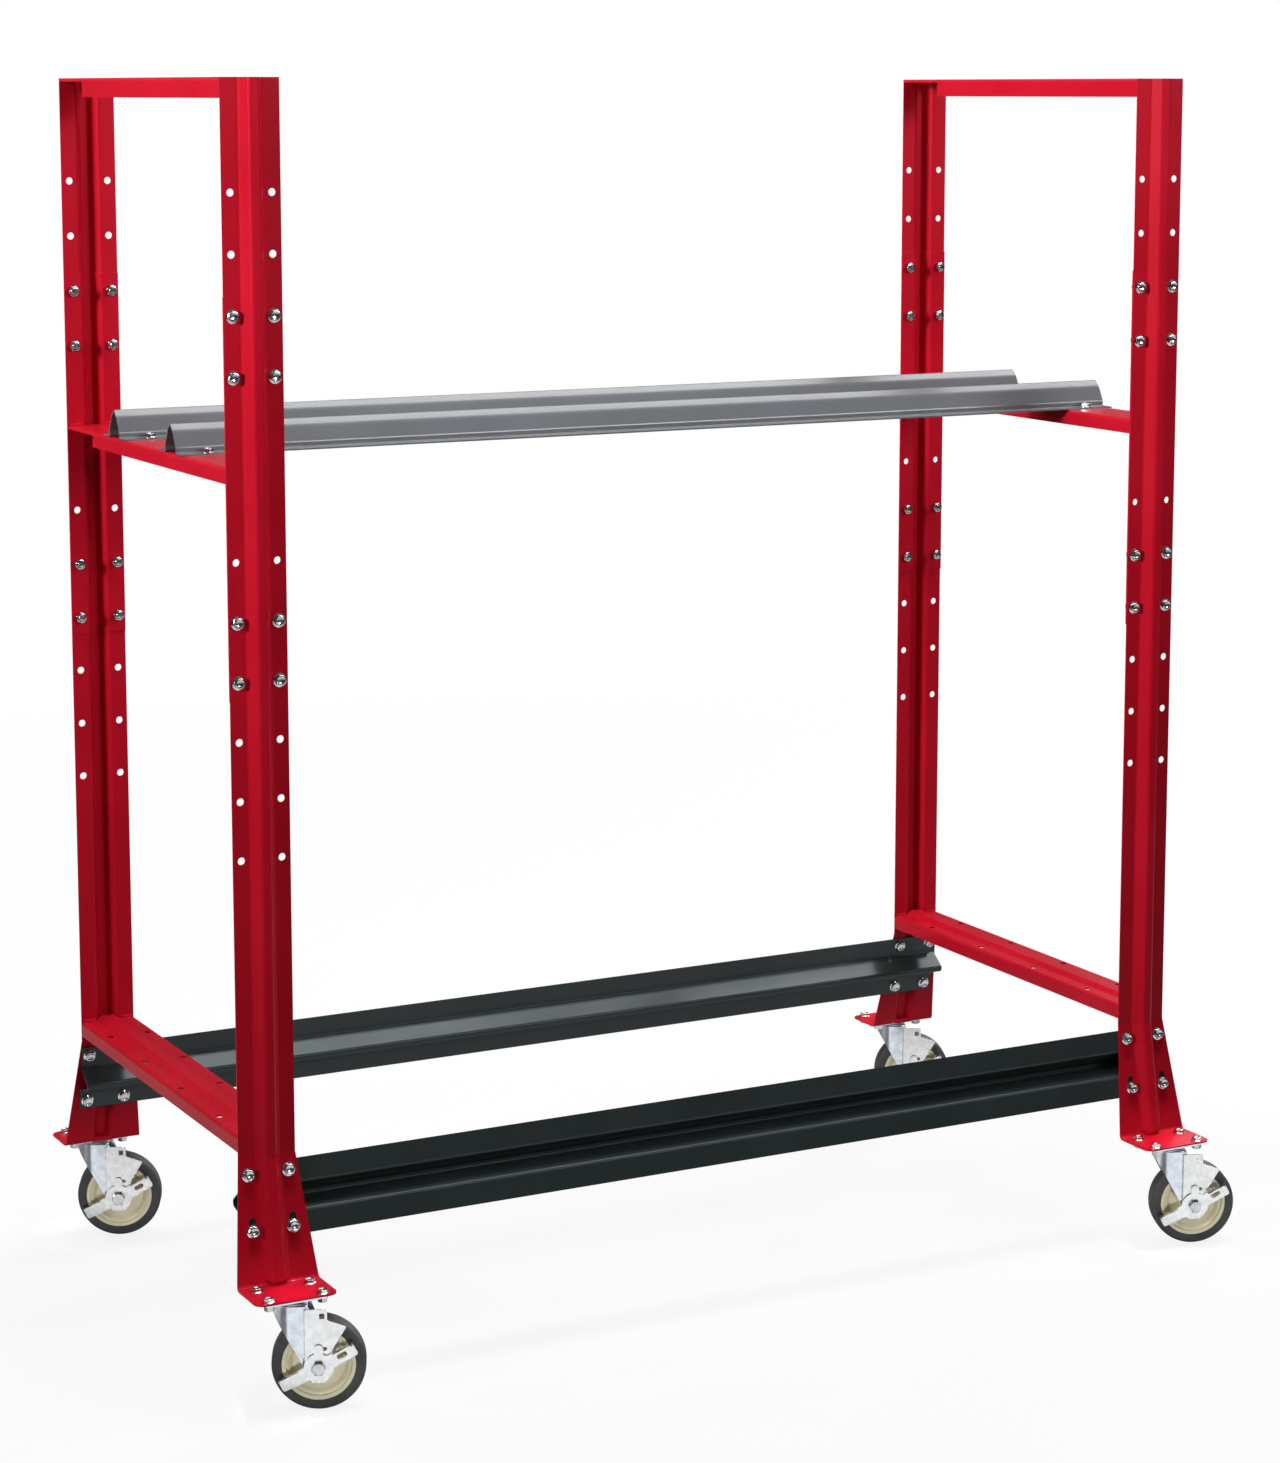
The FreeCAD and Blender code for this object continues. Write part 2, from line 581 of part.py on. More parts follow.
def caster_fasteners():
    grip = SHEET + PLATE_THICKNESS
    one_bolt = bolt(CASTER_BOLT_DIAMETER, CASTER_BOLT_FLANGE, CASTER_BOLT_HEX, CASTER_BOLT_HEAD,
                    grip + CASTER_NUT_HEIGHT + CASTER_BOLT_END)
    one_nut = nut(CASTER_BOLT_DIAMETER, CASTER_BOLT_HEX, CASTER_NUT_HEIGHT)
    bolts, nuts = [], []
    for kx, ky in CASTER_PLACES.values():
        for x, y in caster_bolt_places():
            bolts.append(turned(one_bolt, Vector(kx + x, ky + y, FOOT_Z + SHEET), UP))
            nuts.append(turned(one_nut, Vector(kx + x, ky + y, FOOT_Z - PLATE_THICKNESS), UP * -1))
    return bolts, nuts


# Caster, built about its kingpin at x = y = 0 with the wheel trailing towards +X and the brake facing -Y

CASTER_PLACES = {
    "front_left": (-POST_X, -CASTER_Y),
    "front_right": (POST_X, -CASTER_Y),
    "rear_left": (-POST_X, CASTER_Y),
    "rear_right": (POST_X, CASTER_Y),
}


def caster_plate():
    """A flat plate with a pressed cup that holds the kingpin head above and the ball race below."""
    x, y = PLATE_LENGTH / 2, PLATE_WIDTH / 2
    bottom = CASTER_HEIGHT - PLATE_THICKNESS
    outline = rounded_wire([(-x, -y), (x, -y), (x, y), (-x, y)], [PLATE_CORNER] * 4,
                           lambda u, v: Vector(u, v, bottom))
    rim = CUP_TOP_RADIUS + PLATE_THICKNESS
    plate = extrude(outline, UP * PLATE_THICKNESS).cut(rod(rim, Vector(0, 0, bottom - PAST), UP, 3 * PAST))
    bore = KINGPIN_DIAMETER / 2 + NUT_CLEARANCE
    section = [(bore, CUP_FLOOR_Z), (CUP_FLOOR_RADIUS, CUP_FLOOR_Z), (CUP_TOP_RADIUS, CASTER_HEIGHT),
               (rim, CASTER_HEIGHT), (rim, bottom), (CUP_FLOOR_RADIUS + PLATE_THICKNESS, CUP_BOTTOM_Z),
               (bore, CUP_BOTTOM_Z)]
    cup = revolve(section, [0] * len(section), upright, Vector(0, 0, 0), UP)
    holes = [rod(CASTER_HOLE / 2, Vector(hx, hy, bottom - PAST), UP, 3 * PAST) for hx, hy in caster_bolt_places()]
    return plate.fuse(cup).removeSplitter().cut(holes)


def kingpin():
    """A riveted pin: head in the cup of the plate, collar under the pocket of the fork."""
    r = KINGPIN_DIAMETER / 2
    collar_top = POCKET_BOTTOM_Z - BALL_GAP
    collar_bottom = collar_top - KINGPIN_COLLAR_HEIGHT
    head_top = CUP_FLOOR_Z + KINGPIN_HEAD_HEIGHT
    section = [(0, collar_bottom), (KINGPIN_COLLAR_RADIUS, collar_bottom), (KINGPIN_COLLAR_RADIUS, collar_top),
               (r, collar_top), (r, CUP_FLOOR_Z), (KINGPIN_HEAD_RADIUS, CUP_FLOOR_Z),
               (KINGPIN_HEAD_RADIUS, head_top), (0, head_top)]
    return revolve(section, [0] * len(section), upright, Vector(0, 0, 0), UP)


def swivel_balls():
    height = POCKET_FLOOR_Z + BALL_GAP + BALL_DIAMETER / 2
    angles = [2 * math.pi * i / BALL_COUNT for i in range(BALL_COUNT)]
    return [Part.makeSphere(BALL_DIAMETER / 2, Vector(BALL_CIRCLE * math.cos(a), BALL_CIRCLE * math.sin(a), height))
            for a in angles]


def fork_plan(radius):
    """The fork seen from above: a half circle about the kingpin and two straight sides that run back."""
    reach = TRAIL + FORK_BOSS_RADIUS + PAST
    bottom = AXLE_Z - FORK_BOSS_RADIUS - PAST
    arc = Part.Arc(Vector(0, radius, bottom), Vector(-radius, 0, bottom), Vector(0, -radius, bottom)).toShape()
    lines = Part.makePolygon([Vector(0, -radius, bottom), Vector(reach, -radius, bottom),
                              Vector(reach, radius, bottom), Vector(0, radius, bottom)])
    return Part.Wire([arc] + lines.Edges)


def tangent_point(point, turn):
    """Where the line from a point (x, z) touches the round end of the fork at the axle; turn is 1 or -1."""
    dx, dz = point[0] - TRAIL, point[1] - AXLE_Z
    angle = math.atan2(dz, dx) + turn * math.acos(FORK_BOSS_RADIUS / math.hypot(dx, dz))
    return TRAIL + FORK_BOSS_RADIUS * math.cos(angle), AXLE_Z + FORK_BOSS_RADIUS * math.sin(angle)


def fork_side():
    """The fork seen from the side: crown, a slanting front edge, and a round end about the axle."""
    nose = (-FORK_OUTER - PAST, FORK_TOP_Z - FORK_NOSE_SKIRT)
    back = (FORK_BACK, FORK_TOP_Z)
    front_end = tangent_point((-FORK_OUTER, nose[1]), 1)
    back_end = tangent_point(back, -1)

    def place(p):
        return Vector(p[0], -FORK_OUTER - PAST, p[1])
    lowest = (TRAIL, AXLE_Z - FORK_BOSS_RADIUS)
    lines = Part.makePolygon([place(p) for p in
                              (back_end, back, (nose[0], FORK_TOP_Z), nose, (-FORK_OUTER, nose[1]), front_end)])
    arc = Part.Arc(place(front_end), place(lowest), place(back_end)).toShape()
    return extrude(Part.Wire(lines.Edges + [arc]), ALONG_Y * (FORK_WIDTH + 2 * PAST))


def on_crown_side(edge, z):
    """Whether an edge of the fork's blank lies at height z along the nose or a side, not along the open rear."""
    ends = [v.Point for v in edge.Vertexes]
    return all(abs(p.z - z) < BALL_GAP for p in ends) and min(p.x for p in ends) < TRAIL


def fork_pocket(inner_radius, top):
    """The round pocket pressed down into the crown, which the balls and the cup of the plate sit in."""
    outer_radius = inner_radius + FORK_WALL
    bore = KINGPIN_DIAMETER / 2 + KINGPIN_FIT
    section = [(bore, POCKET_BOTTOM_Z), (outer_radius, POCKET_BOTTOM_Z), (outer_radius, top), (inner_radius, top),
               (inner_radius, POCKET_FLOOR_Z), (bore, POCKET_FLOOR_Z)]
    radii = [0, POCKET_ROUND, 0, 0, POCKET_ROUND - FORK_WALL, 0]
    return revolve(section, radii, upright, Vector(0, 0, 0), UP)


def fork():
    """A pressed fork: crown with a pocket for the balls, curved nose, and two sides down to the axle."""
    bottom = AXLE_Z - FORK_BOSS_RADIUS - PAST
    crown_bottom = FORK_TOP_Z - CROWN_THICKNESS
    outer = extrude(fork_plan(FORK_OUTER), UP * (FORK_TOP_Z - bottom))
    inner = extrude(fork_plan(FORK_INNER), UP * (crown_bottom - bottom))
    outer = outer.makeFillet(FORK_PRESS, [e for e in outer.Edges if on_crown_side(e, FORK_TOP_Z)])
    inner = inner.makeFillet(FORK_PRESS - FORK_WALL, [e for e in inner.Edges if on_crown_side(e, crown_bottom)])
    body = outer.cut(inner).common(fork_side())
    pocket_radius = CUP_TOP_RADIUS + PLATE_THICKNESS + POCKET_GAP
    opening = rod(pocket_radius, Vector(0, 0, crown_bottom - PAST), UP, CROWN_THICKNESS + 2 * PAST)
    pocket = fork_pocket(pocket_radius, crown_bottom + CROWN_THICKNESS / 2)
    axle_bore = rod(AXLE_DIAMETER / 2 + AXLE_FIT, Vector(TRAIL, -FORK_WIDTH, AXLE_Z), ALONG_Y, 2 * FORK_WIDTH)
    return body.cut(opening).fuse(pocket).removeSplitter().cut(axle_bore)


def axle():
    """Shoulder bolt with its head outside the brake, spacer sleeve for the wheel, and nut on the far side."""
    at = Vector(TRAIL, 0, AXLE_Z)
    forward = ALONG_Y * -1
    head = turned(hexagon(AXLE_HEX, AXLE_HEAD), at + forward * AXLE_SEAT, forward)
    shoulder = rod(SLEEVE_RADIUS, at + forward * FORK_OUTER, forward, AXLE_SEAT - FORK_OUTER)
    shank = rod(AXLE_DIAMETER / 2, at + forward * AXLE_SEAT, ALONG_Y, AXLE_SEAT + FORK_OUTER + AXLE_NUT + AXLE_END)
    pin = head.fuse([shoulder, shank])
    bore = rod(AXLE_DIAMETER / 2 + AXLE_FIT, at - ALONG_Y * FORK_WIDTH, ALONG_Y, 2 * FORK_WIDTH)
    sleeve = rod(SLEEVE_RADIUS, at - ALONG_Y * FORK_INNER, ALONG_Y, 2 * FORK_INNER).cut(bore)
    far_nut = turned(nut(AXLE_DIAMETER, AXLE_HEX, AXLE_NUT), at + ALONG_Y * FORK_OUTER, ALONG_Y)
    return [pin, sleeve, far_nut]


def wheel_revolve(half_section, radii):
    """Revolves a section given as (radius, y) pairs for y >= 0, mirrored about the wheel's middle plane."""
    points = half_section + [(r, -y) for r, y in half_section[::-1]]
    return revolve(points, radii + radii[::-1], lambda r, y: Vector(TRAIL + r, y, AXLE_Z),
                   Vector(TRAIL, 0, AXLE_Z), ALONG_Y)


def wheel_core():
    rim_face = WHEEL_WIDTH / 2 - RIM_INSET
    hub_face = FORK_INNER - HUB_GAP
    step_radius = CORE_RADIUS - RIM_BAND
    step_face = rim_face - RIM_STEP
    dish_outer = step_radius - RIM_STEP
    web_face = step_face - DISH_DEPTH
    section = [(SLEEVE_RADIUS + SLEEVE_FIT, hub_face), (HUB_RADIUS, hub_face), (HUB_RADIUS + RIM_STEP, web_face),
               (dish_outer - DISH_DEPTH, web_face), (dish_outer, step_face), (step_radius, step_face),
               (step_radius, rim_face), (CORE_RADIUS, rim_face)]
    return wheel_revolve(section, [0.0] + [CORE_ROUND] * (len(section) - 2) + [0.0])


def tread():
    face = WHEEL_WIDTH / 2
    section = [(CORE_RADIUS, face), (WHEEL_DIAMETER / 2, face)]
    return wheel_revolve(section, [0.0, TREAD_SHOULDER])


def brake_shoe():
    """A plate that slides on the axle shoulder, with a flange turned in over the tread."""
    flange_bottom = WHEEL_DIAMETER / 2 + SHOE_REST_GAP
    top = flange_bottom + SHOE_RISE
    tail = SHOE_TAIL_WIDTH / 2
    outline = [(-SHOE_LEFT, top), (-SHOE_LEFT, 0), (-tail, -SHOE_TAIL), (tail, -SHOE_TAIL),
               (SHOE_WAIST_RIGHT, SHOE_WAIST_HEIGHT), (SHOE_TIP_RIGHT, flange_bottom - SHOE_TIP_DROP),
               (SHOE_TOP_RIGHT, flange_bottom), (SHOE_TOP_RIGHT, top)]
    plate = extrude(rounded_wire(outline, [SHOE_CORNER] * len(outline),
                                 lambda u, v: Vector(TRAIL + u, -SHOE_FACE, AXLE_Z + v)), ALONG_Y * -SHOE_THICKNESS)
    slot_half = SLEEVE_RADIUS + SHOE_SLOT_FIT
    slot = [(-slot_half, -slot_half), (slot_half, -slot_half), (slot_half, slot_half + SHOE_TRAVEL),
            (-slot_half, slot_half + SHOE_TRAVEL)]
    window = extrude(rounded_wire(slot, [FULL_ROUND * slot_half] * 4,
                                  lambda u, v: Vector(TRAIL + u, 0, AXLE_Z + v)), ALONG_Y * -FORK_WIDTH)
    pin_half = PIN_RADIUS + PIN_SLOT_FIT
    pin_swing = PIN_HEIGHT * math.sin(math.radians(LEVER_TRAVEL))
    pin_slot = [(-pin_half, PIN_HEIGHT - pin_half), (pin_swing + pin_half, PIN_HEIGHT - pin_half),
                (pin_swing + pin_half, PIN_HEIGHT + pin_half), (-pin_half, PIN_HEIGHT + pin_half)]
    pin_window = extrude(rounded_wire(pin_slot, [FULL_ROUND * pin_half] * 4,
                                      lambda u, v: Vector(TRAIL + u, 0, AXLE_Z + v)), ALONG_Y * -FORK_WIDTH)
    flange_x = TRAIL + SHOE_TOP_RIGHT - SHOE_FLANGE_WIDTH
    bend = [(-SHOE_FACE - SHOE_THICKNESS, -PAST), (-SHOE_FACE - SHOE_THICKNESS, SHOE_THICKNESS), (0, SHOE_THICKNESS)]
    section = sheet_wire(bend[::-1], SHOE_THICKNESS, SHOE_THICKNESS / 2,
                         lambda y, z: Vector(flange_x, y, AXLE_Z + flange_bottom + z))
    flange = extrude(section, ALONG_X * SHOE_FLANGE_WIDTH)
    lanced = Part.makeBox(SHOE_FLANGE_WIDTH / 2, FORK_WIDTH, SHOE_RISE / 2,
                          Vector(flange_x + SHOE_FLANGE_WIDTH / 4, -FORK_WIDTH,
                                 AXLE_Z + flange_bottom + SHOE_THICKNESS))
    return plate.cut(lanced).fuse(flange).removeSplitter().cut([window, pin_window])


def lever_arm(angle):
    """One arm of the lever: an L-shaped strip with the pedal turned outwards along its upper edge."""
    a = math.radians(angle)
    along = Vector(math.cos(a), 0, math.sin(a))
    upward = Vector(-along.z, 0, along.x) * math.copysign(1, along.x)
    start = Vector(TRAIL, -LEVER_FACE, AXLE_Z) + along * (LEVER_DISC_RADIUS / 2)
    half = LEVER_ARM_WIDTH / 2
    path = [(-half, 0), (half, 0), (half, PEDAL_DEPTH)]
    wire = sheet_wire(path, LEVER_THICKNESS, LEVER_THICKNESS / 2,
                      lambda u, out: start + upward * u - ALONG_Y * out)
    reach = LEVER_ARM_LENGTH - LEVER_DISC_RADIUS / 2
    end = (start + along * reach).dot(along)
    arm = extrude(wire, along * reach)
    corners = [e for e in arm.Edges if all(abs(v.Point.dot(along) - end) < BRAKE_GAP for v in e.Vertexes)
               and abs(e.Length - LEVER_THICKNESS) < BRAKE_GAP]
    return arm.makeFillet(LEVER_END_ROUND, corners)


def brake_lever():
    """A rocking lever on the axle shoulder: disc, two pedals, and a pin that drives the shoe through its slot."""
    centre = Vector(TRAIL, -LEVER_FACE, AXLE_Z)
    forward = ALONG_Y * -1
    arms = [lever_arm(LEVER_LOW_ANGLE), lever_arm(LEVER_HIGH_ANGLE)]
    clear = rod(LEVER_ARM_LENGTH / 2, centre + forward * LEVER_THICKNESS, forward, 2 * PEDAL_DEPTH)
    disc = rod(LEVER_DISC_RADIUS, centre, forward, LEVER_THICKNESS)
    pin_at = centre + UP * PIN_HEIGHT
    ear = rod(PIN_EAR, pin_at, forward, LEVER_THICKNESS)
    neck = Part.makeBox(2 * PIN_EAR, LEVER_THICKNESS, PIN_HEIGHT,
                        centre + forward * LEVER_THICKNESS - ALONG_X * PIN_EAR)
    pin = rod(PIN_RADIUS, pin_at, ALONG_Y, SHOE_THICKNESS + BRAKE_GAP)
    body = disc.fuse([arm.cut(clear) for arm in arms] + [ear, neck, pin]).removeSplitter()
    bore = rod(SLEEVE_RADIUS + SLEEVE_FIT, centre - forward * PAST, forward, 3 * PAST)
    a = math.radians(LEVER_HIGH_ANGLE)
    along, across = Vector(math.cos(a), 0, math.sin(a)), Vector(-math.sin(a), 0, math.cos(a))
    u, v = LEVER_WINDOW_LENGTH / 2, LEVER_WINDOW_WIDTH / 2
    window = extrude(rounded_wire([(-u, -v), (u, -v), (u, v), (-u, v)], [FULL_ROUND * v] * 4,
                                  lambda s, t: centre - forward * PAST + along * (LEVER_WINDOW_AT + s) + across * t),
                     forward * (2 * PAST))
    return body.cut([bore, window])


# Assembly

def frame_nodes():
    nodes = {}
    for name, shape in (("leg", leg()), ("upper_post", upper_post()), ("splice", splice())):
        for corner, placed in four_corners(shape).items():
            nodes[corner + "_" + name] = placed
    for name, shape in (("shelf_bearer", shelf_bearer()), ("top_bar", top_bar()), ("bottom_brace", bottom_brace())):
        for side, placed in both_sides(shape).items():
            nodes[side + "_" + name] = placed
    front_rail = lower_rail()
    rear_rail = front_rail.copy()
    rear_rail.rotate(Vector(0, 0, 0), UP, 180)
    nodes["front_lower_rail"] = front_rail
    nodes["rear_lower_rail"] = rear_rail
    nodes["front_upper_rail"] = upper_rail(-UPPER_RAIL_SPACING / 2)
    nodes["rear_upper_rail"] = upper_rail(UPPER_RAIL_SPACING / 2)
    return nodes


def fastener_nodes():
    splice_bolts, splice_nuts = splice_fasteners()
    rail_bolts, rail_nuts = rail_fasteners()
    upper_bolts, upper_nuts = upper_rail_fasteners()
    caster_bolts, caster_nuts = caster_fasteners()
    groups = {
        "splice_bolts": splice_bolts,
        "lower_rail_bolts": rail_bolts,
        "upper_rail_bolts": upper_bolts,
        "frame_nuts": splice_nuts + rail_nuts + upper_nuts,
        "caster_bolts": caster_bolts,
        "caster_nuts": caster_nuts,
    }
    return {name: Part.makeCompound(solids) for name, solids in groups.items()}


def caster_nodes():
    plate = caster_plate()
    swivelling = {
        "fork": fork(),
        "axle": Part.makeCompound(axle()),
        "wheel_core": wheel_core(),
        "tread": tread(),
        "brake_shoe": brake_shoe(),
        "brake_lever": brake_lever(),
    }
    pin, balls = kingpin(), Part.makeCompound(swivel_balls())
    nodes, pins, ball_rings = {}, [], []
    for corner, (x, y) in CASTER_PLACES.items():
        at = Vector(x, y, 0)
        turned_out = FreeCAD.Placement(at, FreeCAD.Rotation(UP, SWIVEL_REST)).toMatrix()
        nodes[corner + "_caster_plate"] = plate.translated(at)
        for name, shape in swivelling.items():
            nodes[corner + "_" + name] = shape.transformed(turned_out)
        pins.append(pin.translated(at))
        ball_rings += balls.translated(at).Solids
    nodes["kingpins"] = Part.makeCompound(pins)
    nodes["swivel_balls"] = Part.makeCompound(ball_rings)
    return nodes


def all_nodes():
    """Every node, moved so that the origin is in the middle of the footprint on the floor."""
    nodes = frame_nodes()
    nodes.update(fastener_nodes())
    nodes.update(caster_nodes())
    box = Part.makeCompound(list(nodes.values())).optimalBoundingBox(False, False)
    shift = Vector(-box.Center.x, -box.Center.y, -box.ZMin)
    for shape in nodes.values():
        shape.translate(shift)
    return nodes, shift


def main():
    os.makedirs("parts", exist_ok=True)
    nodes, shift = all_nodes()
    for name, shape in nodes.items():
        shape.exportStep("parts/" + name + ".step")
    print(len(nodes), "nodes, moved by", shift)


main()
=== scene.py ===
import json
import math

import bpy
import numpy as np
from mathutils import Euler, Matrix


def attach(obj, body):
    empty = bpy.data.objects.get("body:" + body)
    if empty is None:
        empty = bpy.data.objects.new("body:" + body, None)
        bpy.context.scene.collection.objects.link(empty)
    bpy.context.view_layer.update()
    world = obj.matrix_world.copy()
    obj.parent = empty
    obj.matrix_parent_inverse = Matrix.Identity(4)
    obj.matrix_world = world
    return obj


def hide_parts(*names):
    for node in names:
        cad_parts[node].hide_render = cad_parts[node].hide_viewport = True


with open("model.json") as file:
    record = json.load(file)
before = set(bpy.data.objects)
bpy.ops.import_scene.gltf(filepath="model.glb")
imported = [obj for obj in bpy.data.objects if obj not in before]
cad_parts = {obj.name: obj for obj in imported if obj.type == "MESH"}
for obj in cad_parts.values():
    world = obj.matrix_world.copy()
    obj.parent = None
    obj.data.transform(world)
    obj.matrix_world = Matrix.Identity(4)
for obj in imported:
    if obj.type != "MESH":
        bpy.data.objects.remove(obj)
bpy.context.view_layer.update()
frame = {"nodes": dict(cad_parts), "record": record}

# Looks of the tire cart. Metres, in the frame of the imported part: X to the right, Y to the rear, Z up.


def node_box(name):
    """Lowest and highest corner of a part node, read from its mesh."""
    mesh = frame["nodes"][name].data
    points = np.empty(3 * len(mesh.vertices))
    mesh.vertices.foreach_get("co", points)
    points = points.reshape(-1, 3)
    return points.min(axis=0), points.max(axis=0)


def node_middle(name):
    """Middle of a part node's box."""
    return np.mean(node_box(name), axis=0)


# Places read from the part
BODY = "frame"
HANDS = ("left", "right")
SIDES = (-1, 1)                        # towards the front or the left, and towards the rear or the right
UPPER_RAILS = ("front_upper_rail", "rear_upper_rail")
POST_X = tuple(node_middle(hand + "_shelf_bearer")[0] for hand in HANDS)
MIDDLE_Y = node_middle("left_shelf_bearer")[1]
SHELF_Z = node_box("left_shelf_bearer")[1][2]          # tops of the shelf bearers
TOP_Z = node_box("left_top_bar")[1][2]                 # tops of the top bars
FOOT_Z = node_box("front_left_leg")[0][2]              # undersides of the foot lips

# Sizes shared with the part
SHEET = 0.002
POST_FACE = 0.325                      # outer faces of the post flats from the middle of the cart
HOLE_SPREAD = 0.058                    # between the two hole rows of a post
SPLICE_ROWS = (0.117, 0.197, -0.206, -0.286)           # rows of splice bolts from the shelf bearers
FLARE_HEIGHT = 0.172                   # height of a foot's flare, and how far it leans out
FLARE_OUT = 0.036
LEAN = math.atan2(FLARE_OUT, FLARE_HEIGHT)
LOWER_RAIL_UP = 0.111                  # middle of a lower rail above the foot lip
LOWER_RAIL_ROWS = 0.076                # between its two rows of bolts
UPPER_RAIL_BOLT_OUT = 0.0355           # bolts from the middle of an upper rail
BRACE_Z = 0.359                        # top of the bottom braces' webs
KINGPIN_OUT = 0.40075                  # kingpins from the middle of the cart
CASTER_BOLTS = (0.0762, 0.0445)        # spacing of the caster bolts along X and Y
SWIVEL_REST = math.radians(-24)        # how far the casters stand turned at rest
KINGPINS = {f"{end}_{hand}": (x, MIDDLE_Y + side * KINGPIN_OUT)
            for hand, x in zip(HANDS, POST_X) for end, side in zip(("front", "rear"), SIDES)}

# Fasteners: radii of shank and flange, across flats, head, nut, sheets gripped, end past the nut, thread pitch
BOLT = dict(shank=0.00475, flange=0.0095, across=0.0143, head=0.006, nut=0.008, grip=0.004, end=0.002,
            pitch=0.0015)
CASTER_BOLT = dict(shank=0.00395, flange=0.0085, across=0.0127, head=0.006, nut=0.0065, grip=0.005,
                   end=0.0008, pitch=0.00125)
ROUND_STEPS = 48
ANGLES = np.linspace(0, 2 * math.pi, ROUND_STEPS, endpoint=False)
CHAMFER_CIRCLE = 0.95                  # top circle of a hexagon as a share of its size across flats
CHAMFER_SLOPE = math.radians(30)
CHAMFER_ROWS = 6
HEAD_DISH = ((0.0001, 0.0016), (0.50, 0.0015), (0.72, 0.0008), (0.84, 0.0))    # shares of that circle, depths
FLANGE_TOP = 0.0021                    # where the flange meets the hexagon
FLANGE_EDGE = ((0.93, 0.00126), (1.0, 0.0009), (1.0, 0.0002), (0.97, 0.0))     # shares of its radius, heights
THREAD_FROM = 0.8                      # share of the nut's height at which the shown thread starts
THREAD_DEPTH = 0.14                    # share of the shank's radius
THREAD_ROWS = 40
POINT_LENGTH = 0.0008                  # bevelled end of a bolt, and the share by which it narrows
POINT_DRAFT = 0.15
POINT_RADIUS = 0.000001                # of the last ring, on the axis
BORE_PLAY = 0.0001
COUNTERSINK = (1.14, 0.08)             # widening and depth as shares of a nut's bore and height
SEED = 7

# Upper rails: outer face of half a section from the flange to the crown, as (across, up, bend radius)
RAIL_FACE = ((-0.046, 0.002, 0), (-0.022, 0.002, 0.001), (-0.022, 0.0095, 0.009), (-0.011, 0.030, 0.030),
             (-0.0012, 0.040, 0.003))
ARC_STEPS = 12

# Forks: the radius that their pressed sides seem to have, and where the side lies along the wheel
FORK_ROUND = 0.036
FORK_FLAT_AT = 0.008                   # from the kingpin

# Welds of the cross members: top of the web, its end from the middle, and the faces that carry a bead
WELDED_MEMBERS = ((TOP_Z, POST_FACE - SHEET, ("below",)),
                  (SHELF_Z, POST_FACE - 2 * SHEET, ("above", "below")),
                  (BRACE_Z, POST_FACE - SHEET, ("above", "below")))
WELD_OUT = 0.029                       # middle of a bead from the middle of the post
WELD_LENGTH = 0.019
WELD_RADIUS = 0.0022
WELD_OFF = WELD_RADIUS / 3             # axis of a bead from the two faces that it joins
WELD_PITCH = 0.0024                    # length of a ripple
WELD_TROUGH = 0.9                      # lowest share of the radius, and how much the ripples add
WELD_RIPPLE = 0.14
WELD_BOW = 0.25                        # how far a ripple bows, in ripples
WELD_RUNOUT = 6                        # power of the rounding at both ends
WELD_TIP = 0.0001                      # leaves a hundredth of the radius at the very ends
WELD_ROWS = 61
WELD_STEPS = 16

# Camera, fitted to the photograph
CAMERA_PLACE = (-2.3771, -4.4953, 1.7505)
CAMERA_YAW = math.radians(27.775)
CAMERA_PITCH = math.radians(8.222)
CAMERA_LENS = 84.37
CAMERA_SHIFT = -0.10

# Stage
WHITE = (1.0, 1.0, 1.0, 1.0)
FLOOR_REACH = 30.0
FLOOR_FADE = (1.6, 5.0)                # distances from the middle between which the floor turns white
FLOOR_SHADE = 0.12                     # tone near the cart that takes light and shadow, for the camera
FLOOR_GLOW = 0.85                      # own brightness near the cart, for the camera
FLOOR_BOUNCE = 0.15                    # tone for all other rays
# Painted reflections: the floor glows in these strips for mirrored rays alone, so glossy parts show bright and
# dark reflections that no lamp casts
FLOOR_REFLECTION_GLOW = ((-2.0, 0.5), (-1.5, 0.9), (-0.52, 0.95), (-0.43, 0.1), (-0.16, 0.1), (-0.06, 0.9),
                  (0.26, 0.9), (0.34, 0.1), (0.55, 0.1), (0.7, 0.25), (2.0, 0.2))  # (y, brightness mirrored)
ROOM = ((0.0, 0.03), (0.47, 0.03), (0.56, 0.05), (0.75, 0.10), (1.0, 0.16))        # (height, brightness)
ROOM_BLUE = 1.02
LAMPS = {
    "key_left": dict(place=(-7.1, -1.6, 3.2), aim=(0, 0, 1.72), size=(1.6, 2.0), power=20, spread=28),
    "overhead": dict(place=(2.0, -0.3, 7.0), aim=(2.0, 0.1, 0.6), size=(8.0, 1.8), power=400),
    "overhead_rear": dict(place=(0.4, 2.2, 4.4), aim=(0.2, 0.3, 0.3), size=(4.0, 1.0), power=26),
    "front_right": dict(place=(2.55, -4.7, 3.0), aim=(0, 0, 1.9), size=(3.3, 1.2), power=14, spread=40),
    "rear_left": dict(place=(-3.6, 4.2, 3.2), aim=(0, 0, 1.0), size=(1.6, 2.4), power=110, mirrored=False),
    "rear_right": dict(place=(4.6, 3.0, 2.8), aim=(0, 0, 1.0), size=(1.6, 2.4), power=110),
    "low_front": dict(place=(-1.6, -4.6, 0.12), aim=(0, 0, 0.05), size=(3.0, 0.06), power=0.7, spread=4,
                      mirrored=False),
}
FOOT_LAMP = dict(size=(0.12, 0.12), power=0.04, spread=3, mirrored=False)
FOOT_LAMP_UP = 3.0

# Patterns and meshes
NOISE_REACH = (0.3, 0.7)               # noise mostly lies between these
WHOLE = (0.0, 1.0)
SMOOTH_BELOW = math.radians(32)        # edges that turn less than this shade as round


# Node helpers

